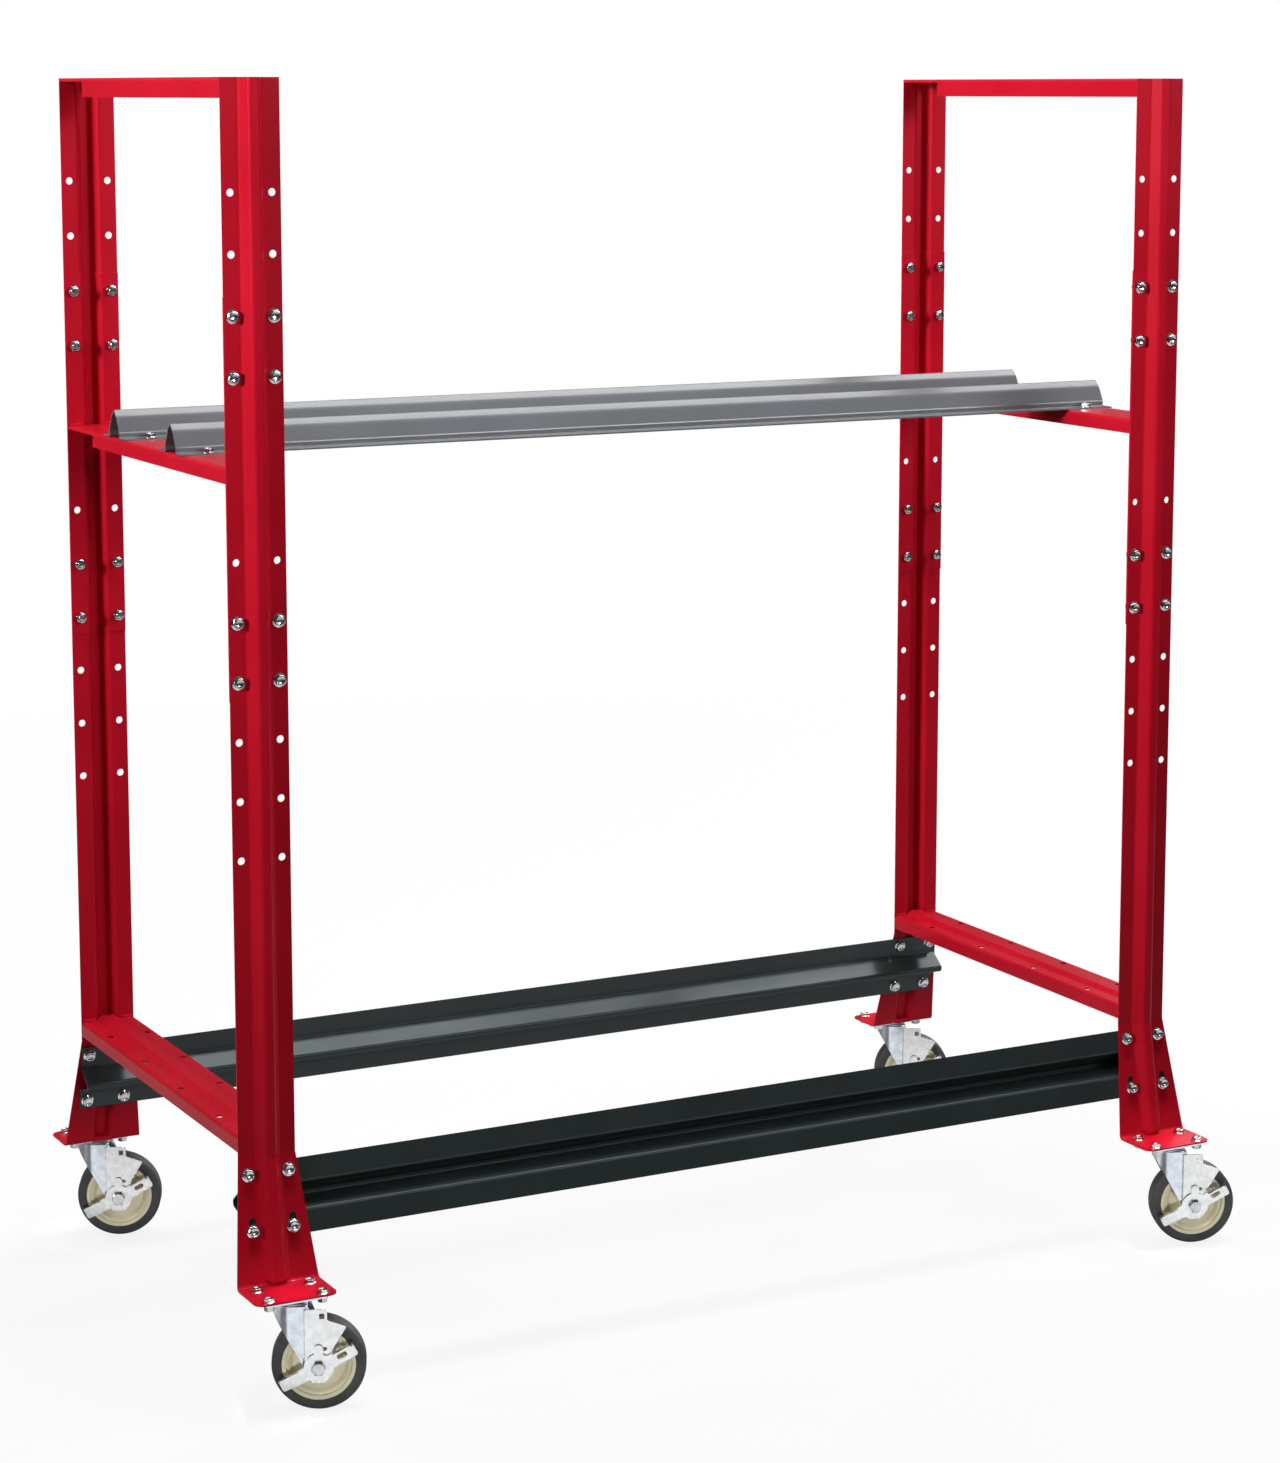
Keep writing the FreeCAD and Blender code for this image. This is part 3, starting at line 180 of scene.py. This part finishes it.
class Nodes:
    """A node tree under construction, with the coordinates that its patterns read."""

    def __init__(self, tree, coordinates):
        self.tree = tree
        self.place = self.add("ShaderNodeTexCoord").outputs[coordinates]

    def add(self, kind, **settings):
        """A new node with these settings."""
        node = self.tree.nodes.new(kind)
        for key, value in settings.items():
            setattr(node, key, value)
        return node

    def plug(self, term, socket):
        """Links an output to a socket, or gives the socket a constant."""
        if isinstance(term, bpy.types.NodeSocket):
            self.tree.links.new(term, socket)
        else:
            socket.default_value = term

    def along(self, axis):
        """One coordinate of the place."""
        split = self.add("ShaderNodeSeparateXYZ")
        self.plug(self.place, split.inputs["Vector"])
        return split.outputs[axis]

    def maths(self, operation, *terms):
        """Result of a math node on outputs and constants."""
        node = self.add("ShaderNodeMath", operation=operation)
        for term, socket in zip(terms, node.inputs):
            self.plug(term, socket)
        return node.outputs["Value"]

    def mixed(self, factor, first, second):
        """A blend of two colours."""
        node = self.add("ShaderNodeMix", data_type="RGBA")
        for term, socket in ((factor, "Factor"), (first, "A"), (second, "B")):
            self.plug(term, node.inputs[socket])
        return node.outputs["Result"]

    def noise(self, scale, detail, stretch=(1, 1, 1)):
        """A noise pattern with that many features per metre, stretched along the axes."""
        mapping = self.add("ShaderNodeMapping")
        mapping.inputs["Scale"].default_value = stretch
        self.plug(self.place, mapping.inputs["Vector"])
        texture = self.add("ShaderNodeTexNoise")
        texture.inputs["Scale"].default_value = scale
        texture.inputs["Detail"].default_value = detail
        self.plug(mapping.outputs["Vector"], texture.inputs["Vector"])
        return texture.outputs["Fac"]

    def ramp(self, factor, *stops):
        """Colours at positions along a factor."""
        node = self.add("ShaderNodeValToRGB")
        elements = node.color_ramp.elements
        while len(elements) < len(stops):
            elements.new(0.5)
        for element, (position, colour) in zip(elements, stops):
            element.position = position
            element.color = (*colour, 1.0)
        self.plug(factor, node.inputs["Fac"])
        return node.outputs["Color"]

    def spread(self, factor, low, high, reach=NOISE_REACH):
        """A factor mapped from its reach to a range of values."""
        node = self.add("ShaderNodeMapRange")
        for socket, value in zip(("From Min", "From Max", "To Min", "To Max"), (*reach, low, high)):
            node.inputs[socket].default_value = value
        self.plug(factor, node.inputs["Value"])
        return node.outputs["Result"]


class Look(Nodes):
    """A material under construction: its Principled shader, fed by patterns on object coordinates."""

    def __init__(self, name, **constants):
        self.material = bpy.data.materials.new(name)
        self.material.use_nodes = True
        super().__init__(self.material.node_tree, "Object")
        self.shader = self.tree.nodes["Principled BSDF"]
        for socket, value in constants.items():
            self.shader.inputs[socket.replace("_", " ")].default_value = value

    def feed(self, output, socket):
        """Links an output to the shader."""
        self.plug(output, self.shader.inputs[socket])

    def tone(self, dark, light, scale, detail):
        """Base colour that drifts between two tones."""
        low, high = NOISE_REACH
        self.feed(self.ramp(self.noise(scale, detail), (low, dark), (high, light)), "Base Color")

    def roughness(self, middle, drift, scale, detail):
        """Roughness that drifts about a middle value."""
        self.feed(self.spread(self.noise(scale, detail), middle - drift, middle + drift), "Roughness")

    def bump(self, height, strength, depth):
        """Adds a bump to the shader's normal, on top of any bump before it."""
        node = self.add("ShaderNodeBump")
        node.inputs["Strength"].default_value = strength
        node.inputs["Distance"].default_value = depth
        self.plug(height, node.inputs["Height"])
        normal = self.shader.inputs["Normal"]
        if normal.is_linked:
            self.plug(normal.links[0].from_socket, node.inputs["Normal"])
        self.plug(node.outputs["Normal"], normal)


# Materials

def powder_coat(name, dark, light, rough, gloss, tint):
    """Baked powder: slow changes of tone, a fine orange peel, and gloss that varies a little."""
    look = Look(name, IOR=1.5, Specular_IOR_Level=gloss, Specular_Tint=(*tint, 1.0))
    look.tone(dark, light, scale=7, detail=4)
    look.roughness(rough, drift=0.02, scale=9, detail=2)
    look.bump(look.noise(220, 2), strength=0.012, depth=0.0003)
    return look.material


def fork_rounding(look, kingpin):
    """Heights of an upright cylinder beside a kingpin: minus the squared distance along the wheel over twice
    its radius."""
    direction = (math.cos(SWIVEL_REST), math.sin(SWIVEL_REST), 0)
    along = look.add("ShaderNodeVectorMath", operation="DOT_PRODUCT")
    look.plug(look.place, along.inputs[0])
    look.plug(direction, along.inputs[1])
    start = np.dot(direction[:2], kingpin) + FORK_FLAT_AT
    distance = look.maths("SUBTRACT", along.outputs["Value"], start)
    square = look.maths("MULTIPLY", distance, distance)
    return look.maths("MULTIPLY", square, -1 / (2 * FORK_ROUND))


def plated_steel(name, dark, light, rough, grain, kingpin=None):
    """Zinc plate: cloudy tone, fine drawn grain and uneven gloss; on a fork also the rounding of its pressed
    sides."""
    look = Look(name, Metallic=1.0)
    if kingpin:
        look.bump(fork_rounding(look, kingpin), strength=1.0, depth=1.0)
    look.tone(dark, light, scale=90, detail=4)
    look.roughness(rough, drift=0.07, scale=160, detail=3)
    look.bump(look.noise(900, 2, grain), strength=0.08, depth=0.0002)
    return look.material


def moulded_plastic(name, dark, light):
    """Moulded polyolefin: slightly mottled, soft gloss."""
    look = Look(name, IOR=1.49)
    look.tone(dark, light, scale=45, detail=4)
    look.roughness(0.43, drift=0.07, scale=120, detail=3)
    look.bump(look.noise(700, 2), strength=0.08, depth=0.0003)
    return look.material


def rubber(name, dark, light):
    """Non-marking rubber: matt, with a fine pebble and dusty clouds."""
    look = Look(name, IOR=1.52)
    look.tone(dark, light, scale=35, detail=5)
    look.roughness(0.61, drift=0.09, scale=150, detail=3)
    look.bump(look.noise(1100, 3), strength=0.2, depth=0.0003)
    return look.material


CASTER_ZINC = ((0.56, 0.60, 0.66), (0.74, 0.78, 0.84), 0.19, (5, 5, 1))
MATERIALS = {
    "red_paint": powder_coat("red_powder_coat", (0.49, 0.005, 0.018), (0.55, 0.008, 0.024), 0.30, 0.22,
                             (1.0, 0.2, 0.25)),
    "black_paint": powder_coat("black_powder_coat", (0.031, 0.040, 0.041), (0.039, 0.050, 0.051), 0.22, 0.28,
                               (0.85, 0.95, 1.0)),
    "grey_paint": powder_coat("grey_powder_coat", (0.126, 0.133, 0.145), (0.146, 0.154, 0.168), 0.24, 0.5,
                              (1.0, 1.0, 1.0)),
    "zinc": plated_steel("bright_zinc", (0.44, 0.45, 0.46), (0.62, 0.63, 0.64), 0.17, (1, 1, 6)),
    "caster_steel": plated_steel("caster_zinc", *CASTER_ZINC),
    "brake_steel": plated_steel("brake_zinc", (0.70, 0.71, 0.72), (0.84, 0.85, 0.86), 0.28, (1, 1, 4)),
    "wheel_core": moulded_plastic("beige_core", (0.70, 0.64, 0.45), (0.80, 0.74, 0.53)),
    "tread": rubber("grey_tread", (0.042, 0.042, 0.044), (0.060, 0.061, 0.062)),
}


# Mesh helpers

def new_piece(name, vertices, faces, slot, body):
    """A mesh object from arrays, with its material, its slot and the body that it rides on."""
    mesh = bpy.data.meshes.new(name)
    mesh.from_pydata(vertices.tolist(), [], faces.tolist())
    mesh.polygons.foreach_set("use_smooth", np.ones(len(mesh.polygons), dtype=bool))
    mesh.set_sharp_from_angle(angle=SMOOTH_BELOW)
    mesh.materials.append(MATERIALS[slot])
    piece = bpy.data.objects.new(name, mesh)
    bpy.context.scene.collection.objects.link(piece)
    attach(piece, body)
    return piece


def grid_faces(rows, columns, closed_rows=False):
    """Quads of a grid whose columns close on themselves, and its rows too if asked."""
    row = np.arange(rows if closed_rows else rows - 1)[:, None]
    column = np.arange(columns)[None, :]
    after_row, after_column = (row + 1) % rows, (column + 1) % columns
    corners = np.stack([row * columns + column, row * columns + after_column,
                        after_row * columns + after_column, after_row * columns + column], -1)
    return corners.reshape(-1, 4)


def repeated(vertices, faces, seats, heads, turns):
    """Copies of a shape built about Z, moved to seats with Z along heads and turned about it by turns."""
    side = np.cross(heads, np.where(np.abs(heads[:, 2:]) < 0.9, [[0.0, 0.0, 1.0]], [[1.0, 0.0, 0.0]]))
    side /= np.linalg.norm(side, axis=1, keepdims=True)
    other = np.cross(heads, side)
    c, s = np.cos(turns)[:, None], np.sin(turns)[:, None]
    axes = np.stack([c * side + s * other, c * other - s * side, heads], 1)
    points = seats[:, None, :] + np.einsum("vk,nkj->nvj", vertices, axes)
    shifts = np.arange(len(seats))[:, None, None] * len(vertices)
    return points.reshape(-1, 3), (faces[None] + shifts).reshape(-1, 4)


# Bolts and nuts

def circles(radii):
    """Rows of one value each, all the way round."""
    return np.repeat(np.asarray(radii)[:, None], ROUND_STEPS, axis=1)


def around(radius, z):
    """Points about Z: the radii of each row at every angle, at the height of that row."""
    points = np.stack([radius * np.cos(ANGLES), radius * np.sin(ANGLES), circles(z)], axis=-1)
    return points.reshape(-1, 3)


def hexagon_radius(across):
    """Distance from the axis to the side of a hexagon at each angle: half the flat size over the cosine."""
    sixth = math.pi / 3
    return across / 2 / np.cos((ANGLES + sixth / 2) % sixth - sixth / 2)


def chamfer_rows(across, base, top):
    """Heights and limiting radii from a hexagon's base up its chamfer to the flat circle at its top."""
    corner = across / math.sqrt(3)
    circle = CHAMFER_CIRCLE * across / 2
    drop = (corner - circle) * math.tan(CHAMFER_SLOPE)
    share = np.linspace(0, 1, CHAMFER_ROWS)
    heights = np.concatenate([[base], top - drop * (1 - share)])
    limits = np.concatenate([[corner], corner + (circle - corner) * share])
    return heights, limits


def bolt_shape(size):
    """A flanged bolt about Z, seat at z = 0: rows of circles and hexagons from the dished top of the head
    over the flange and down the shank, whose end carries a helical thread that cuts into its radius."""
    heights, limits = chamfer_rows(size["across"], FLANGE_TOP, size["head"])
    head = np.minimum(limits[::-1, None], hexagon_radius(size["across"]))
    dish_share, dish_depth = np.transpose(HEAD_DISH)
    flange_share, flange_z = np.transpose(FLANGE_EDGE)
    stop = -(size["grip"] + size["nut"] + size["end"])
    thread_z = np.linspace(-size["grip"] - size["nut"] * THREAD_FROM, stop, THREAD_ROWS)
    turns = thread_z[:, None] / size["pitch"] + ANGLES / (2 * math.pi)
    groove = 1 - np.abs(turns % 1.0 - 0.5) * 2
    bevel = 1 - np.clip((thread_z[:, None] - stop) / POINT_LENGTH, 0, 1)
    thread = size["shank"] * (1 - THREAD_DEPTH * groove) * (1 - POINT_DRAFT * bevel)
    radius = np.concatenate([circles(dish_share * limits[-1]), head, circles(flange_share * size["flange"]),
                             circles([size["shank"]] * 2), thread, circles([POINT_RADIUS])])
    z = np.concatenate([size["head"] - dish_depth, heights[::-1], flange_z, [0.0, thread_z[0]], thread_z,
                        [stop]])
    return around(radius, z), grid_faces(len(z), ROUND_STEPS)[:, ::-1]


def nut_shape(size):
    """A hexagon nut that stands on z = 0 and rises to its height: a closed ring of rows, hexagons outside
    with chamfers at both ends and circles inside, with a countersink at each end of the bore."""
    heights, limits = chamfer_rows(size["across"], size["nut"] / 2, size["nut"])
    heights = np.concatenate([size["nut"] - heights[:0:-1], heights[1:]])
    limits = np.concatenate([limits[:0:-1], limits[1:]])
    outside = np.minimum(limits[:, None], hexagon_radius(size["across"]))
    wider, depth = COUNTERSINK
    bore = np.array([wider, 1.0, 1.0, wider]) * (size["shank"] + BORE_PLAY)
    bore_z = np.array([1.0, 1.0 - depth, depth, 0.0]) * size["nut"]
    radius = np.concatenate([outside, circles(bore)])
    z = np.concatenate([heights, bore_z])
    return around(radius, z), grid_faces(len(z), ROUND_STEPS, closed_rows=True)


def on_wall(along, off, x, side):
    """A point on the leaning face of a foot: along it from the rail's middle, off it towards the inside."""
    out = FLARE_OUT * (1 - LOWER_RAIL_UP / FLARE_HEIGHT) - along * math.sin(LEAN) - off * math.cos(LEAN)
    z = FOOT_Z + LOWER_RAIL_UP + along * math.cos(LEAN) - off * math.sin(LEAN)
    return (x, MIDDLE_Y + side * (POST_FACE - SHEET + out), z)


def splice_places():
    """Seats and head directions of the bolts that hold leg, upper post and splice together."""
    return [((x + column * HOLE_SPREAD / 2, MIDDLE_Y + side * POST_FACE, SHELF_Z + row), (0, side, 0))
            for x in POST_X for column in SIDES for side in SIDES for row in SPLICE_ROWS]


def lower_rail_places():
    """Bolts through the feet and the lower rails; every head faces the front."""
    places = []
    for x in [post + column * HOLE_SPREAD / 2 for post in POST_X for column in SIDES]:
        for along in (LOWER_RAIL_ROWS / 2, -LOWER_RAIL_ROWS / 2):
            places.append((on_wall(along, -SHEET, x, -1), (0, -math.cos(LEAN), math.sin(LEAN))))
            places.append((on_wall(along, SHEET, x, 1), (0, -math.cos(LEAN), -math.sin(LEAN))))
    return places


def upper_rail_places():
    """Bolts through the flanges of the upper rails, heads up."""
    return [((x, node_middle(rail)[1] + column * UPPER_RAIL_BOLT_OUT, SHELF_Z + SHEET), (0, 0, 1))
            for x in POST_X for rail in UPPER_RAILS for column in SIDES]


def caster_places():
    """Bolts through the foot lips at the corners of the caster plates, heads up."""
    wide, deep = CASTER_BOLTS
    return [((x + i * wide / 2, y + j * deep / 2, FOOT_Z + SHEET), (0, 0, 1))
            for x, y in KINGPINS.values() for i in SIDES for j in SIDES]


def fasteners():
    """Detailed bolts and nuts in the places of the part's plain ones, each turned by chance."""
    rng = np.random.default_rng(SEED)

    def spots(places):
        return np.array([p[0] for p in places]), np.array([p[1] for p in places], dtype=float)

    def scatter(node, shape, seats, heads):
        turns = rng.uniform(0, math.pi / 3, len(seats))
        piece = new_piece(node + "_detail", *repeated(*shape, seats, heads, turns), "zinc", BODY)
        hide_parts(node)

    groups = {"splice_bolts": splice_places(), "lower_rail_bolts": lower_rail_places(),
              "upper_rail_bolts": upper_rail_places()}
    for node, places in groups.items():
        scatter(node, bolt_shape(BOLT), *spots(places))
    seats, heads = spots(sum(groups.values(), []))
    scatter("frame_nuts", nut_shape(BOLT), seats - heads * BOLT["grip"], -heads)
    seats, heads = spots(caster_places())
    scatter("caster_bolts", bolt_shape(CASTER_BOLT), seats, heads)
    scatter("caster_nuts", nut_shape(CASTER_BOLT), seats - heads * CASTER_BOLT["grip"], -heads)


# Upper rails

def rounded_path(corners):
    """Points and outward normals along a path of (across, up, radius): each bend is an arc between its two
    tangents, about a centre on the line that halves the bend."""
    points, normals = [], []
    for i, (across, up, radius) in enumerate(corners):
        at = np.array([across, up])
        before = at - corners[max(i - 1, 0)][:2]
        after = np.array(corners[min(i + 1, len(corners) - 1)][:2]) - at
        into = before if i else after
        onward = after if after.any() else before
        start, end = math.atan2(into[1], into[0]), math.atan2(onward[1], onward[0])
        turn = end - start
        angle = np.linspace(start, end, ARC_STEPS if radius else 1)
        normal = np.stack([-np.sin(angle), np.cos(angle)], 1)
        side = -np.sign(turn)
        middle = np.array([-math.sin((start + end) / 2), math.cos((start + end) / 2)])
        centre = at - middle * side * radius / math.cos(turn / 2)
        points.append(centre + normal * side * radius)
        normals.append(normal)
    return np.concatenate(points), np.concatenate(normals)


def upper_rail(name):
    """A bent sheet along X, as long as its node: the outer face and, a sheet's thickness inside it, the inner
    face, closed at both ends."""
    mirrored = tuple((-across, up, radius) for across, up, radius in RAIL_FACE[::-1])
    outer, normals = rounded_path(RAIL_FACE + mirrored)
    inner = outer - normals * SHEET
    loop = np.concatenate([outer, inner[::-1]])
    count = len(loop)
    low, high = node_box(name)
    y = (low[1] + high[1]) / 2
    points = np.stack([np.repeat([[low[0]], [high[0]]], count, axis=1), np.tile(y + loop[:, 0], (2, 1)),
                       np.tile(low[2] + loop[:, 1], (2, 1))], -1)
    step = np.arange(len(outer) - 1)
    cap = np.stack([step, step + 1, count - 2 - step, count - 1 - step], 1)
    faces = np.concatenate([grid_faces(2, count)[:, ::-1], cap[:, ::-1], cap + count])
    piece = new_piece(name + "_formed", points.reshape(-1, 3), faces, "grey_paint", BODY)
    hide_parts(name)


# Welds

def bead_shape():
    """A weld bead along Z: circles whose radius ripples in bowed waves along it and runs out at both ends."""
    along = np.linspace(-0.5, 0.5, WELD_ROWS)[:, None]
    angle = np.linspace(0, 2 * math.pi, WELD_STEPS, endpoint=False)[None]
    waves = np.abs(np.sin(math.pi * (along * WELD_LENGTH / WELD_PITCH + WELD_BOW * np.cos(angle))))
    ends = np.sqrt(1 + WELD_TIP - (2 * np.abs(along)) ** WELD_RUNOUT)
    radius = WELD_RADIUS * (WELD_TROUGH + WELD_RIPPLE * waves) * ends
    points = np.stack([radius * np.cos(angle), radius * np.sin(angle), along * WELD_LENGTH + 0 * angle], -1)
    return points.reshape(-1, 3), grid_faces(WELD_ROWS, WELD_STEPS)


def welds():
    """Beads where the webs of the cross members end on the flats of the posts, above and below the web."""
    rise = {"above": WELD_OFF, "below": -SHEET - WELD_OFF}
    seats = [(post + column * WELD_OUT, MIDDLE_Y + side * (reach - WELD_OFF), top + rise[face])
             for top, reach, faces in WELDED_MEMBERS
             for post in POST_X for column in SIDES for side in SIDES for face in faces]
    heads = np.tile([[1.0, 0.0, 0.0]], (len(seats), 1))
    turns = np.zeros(len(seats))
    new_piece("weld_beads", *repeated(*bead_shape(), np.array(seats), heads, turns), "red_paint", BODY)


# Part nodes that stay

def finish_nodes():
    """Gives every part node the material of its slot, and each fork its own with the rounded sides."""
    slots = {s["node"]: s["material_slot"] for s in frame["record"]["subparts"]}
    finishes = {name: MATERIALS[slots[name]] for name in frame["nodes"]}
    for corner, kingpin in KINGPINS.items():
        finishes[corner + "_fork"] = plated_steel("fork_zinc_" + corner, *CASTER_ZINC, kingpin)
    for name, node in frame["nodes"].items():
        node.data.materials.clear()
        node.data.materials.append(finishes[name])


# Stage

def grey(value):
    """A colour with three equal parts."""
    return (value, value, value)


def floor_paint():
    """Pale floor: it shows soft shadows near the cart, turns white further out, and glows in bright and dark
    strips along Y that only mirrored rays see, painted reflections for the glossy parts."""
    look = Look("pale_floor", Roughness=0.9, Specular_IOR_Level=0.0, Emission_Color=WHITE)
    ray = look.add("ShaderNodeLightPath").outputs
    seen = ray["Is Camera Ray"]
    far = look.add("ShaderNodeVectorMath", operation="LENGTH")
    look.plug(look.place, far.inputs[0])
    fade = look.spread(far.outputs["Value"], *WHOLE, FLOOR_FADE)
    shade = look.ramp(fade, (0.0, grey(FLOOR_SHADE)), (1.0, grey(0.0)))
    look.feed(look.mixed(seen, (*grey(FLOOR_BOUNCE), 1.0), shade), "Base Color")
    glow = look.maths("MULTIPLY", seen, look.spread(fade, FLOOR_GLOW, 1.0, WHOLE))
    # Painted reflections: strips of glow that only mirrored rays see, fading out away from the cart
    first, last = FLOOR_REFLECTION_GLOW[0][0], FLOOR_REFLECTION_GLOW[-1][0]
    row = look.spread(look.along("Y"), *WHOLE, (first, last))
    reflection_strips = look.ramp(row, *[((y - first) / (last - first), grey(value)) for y, value in FLOOR_REFLECTION_GLOW])
    reflection_glow_near_cart = look.maths("MULTIPLY", reflection_strips, look.spread(fade, 1.0, 0.0, WHOLE))
    look.feed(look.maths("MULTIPLY_ADD", ray["Is Glossy Ray"], reflection_glow_near_cart, glow), "Emission Strength")
    return look.material


def floor():
    """One large square under the cart."""
    mesh = bpy.data.meshes.new("floor")
    corners = [(-FLOOR_REACH, -FLOOR_REACH, 0), (FLOOR_REACH, -FLOOR_REACH, 0),
               (FLOOR_REACH, FLOOR_REACH, 0), (-FLOOR_REACH, FLOOR_REACH, 0)]
    mesh.from_pydata(corners, [], [(0, 1, 2, 3)])
    mesh.materials.append(floor_paint())
    plane = bpy.data.objects.new("floor", mesh)
    bpy.context.scene.collection.objects.link(plane)


def surroundings():
    """White behind the cart; for everything else a dim room that is paler above than below."""
    world = bpy.data.worlds.new("studio")
    bpy.context.scene.world = world
    world.use_nodes = True
    room = Nodes(world.node_tree, "Generated")
    height = room.spread(room.along("Z"), *WHOLE, (-1.0, 1.0))
    tone = room.ramp(height, *[(up, (value, value, value * ROOM_BLUE)) for up, value in ROOM])
    seen = room.add("ShaderNodeLightPath").outputs["Is Camera Ray"]
    room.plug(room.mixed(seen, tone, WHITE), world.node_tree.nodes["Background"].inputs["Color"])


def soft_light(name, place, aim, size, power, spread=180, mirrored=True):
    """A rectangular lamp that faces its aim with its width level; the camera doesn't see it."""
    light = bpy.data.lights.new(name, "AREA")
    light.shape = "RECTANGLE"
    light.size, light.size_y = size
    light.energy = power
    light.spread = math.radians(spread)
    lamp = bpy.data.objects.new(name, light)
    lamp.location = place
    direction = np.array(aim) - np.array(place)
    yaw = math.atan2(direction[1], direction[0]) - math.pi / 2
    tilt = math.acos(-direction[2] / np.linalg.norm(direction))
    lamp.rotation_euler = Euler((tilt, 0, yaw))
    lamp.visible_camera = False
    lamp.visible_glossy = mirrored
    bpy.context.scene.collection.objects.link(lamp)


def studio():
    """The lamps round the cart, and a narrow one straight above each foot."""
    for name, lamp in LAMPS.items():
        soft_light(name, **lamp)
    for x, y in KINGPINS.values():
        soft_light("over_foot", (x, y, FOOT_LAMP_UP), (x, y, 0), **FOOT_LAMP)


def camera():
    """The photograph's view."""
    data = bpy.data.cameras.new("camera")
    data.lens = CAMERA_LENS
    data.shift_y = CAMERA_SHIFT
    eye = bpy.data.objects.new("camera", data)
    eye.location = CAMERA_PLACE
    eye.rotation_euler = Euler((math.pi / 2 - CAMERA_PITCH, 0, -CAMERA_YAW))
    bpy.context.scene.collection.objects.link(eye)
    bpy.context.scene.camera = eye


finish_nodes()
fasteners()
for rail in UPPER_RAILS:
    upper_rail(rail)
welds()
floor()
surroundings()
studio()
camera()
bpy.context.scene.view_settings.view_transform = "Standard"
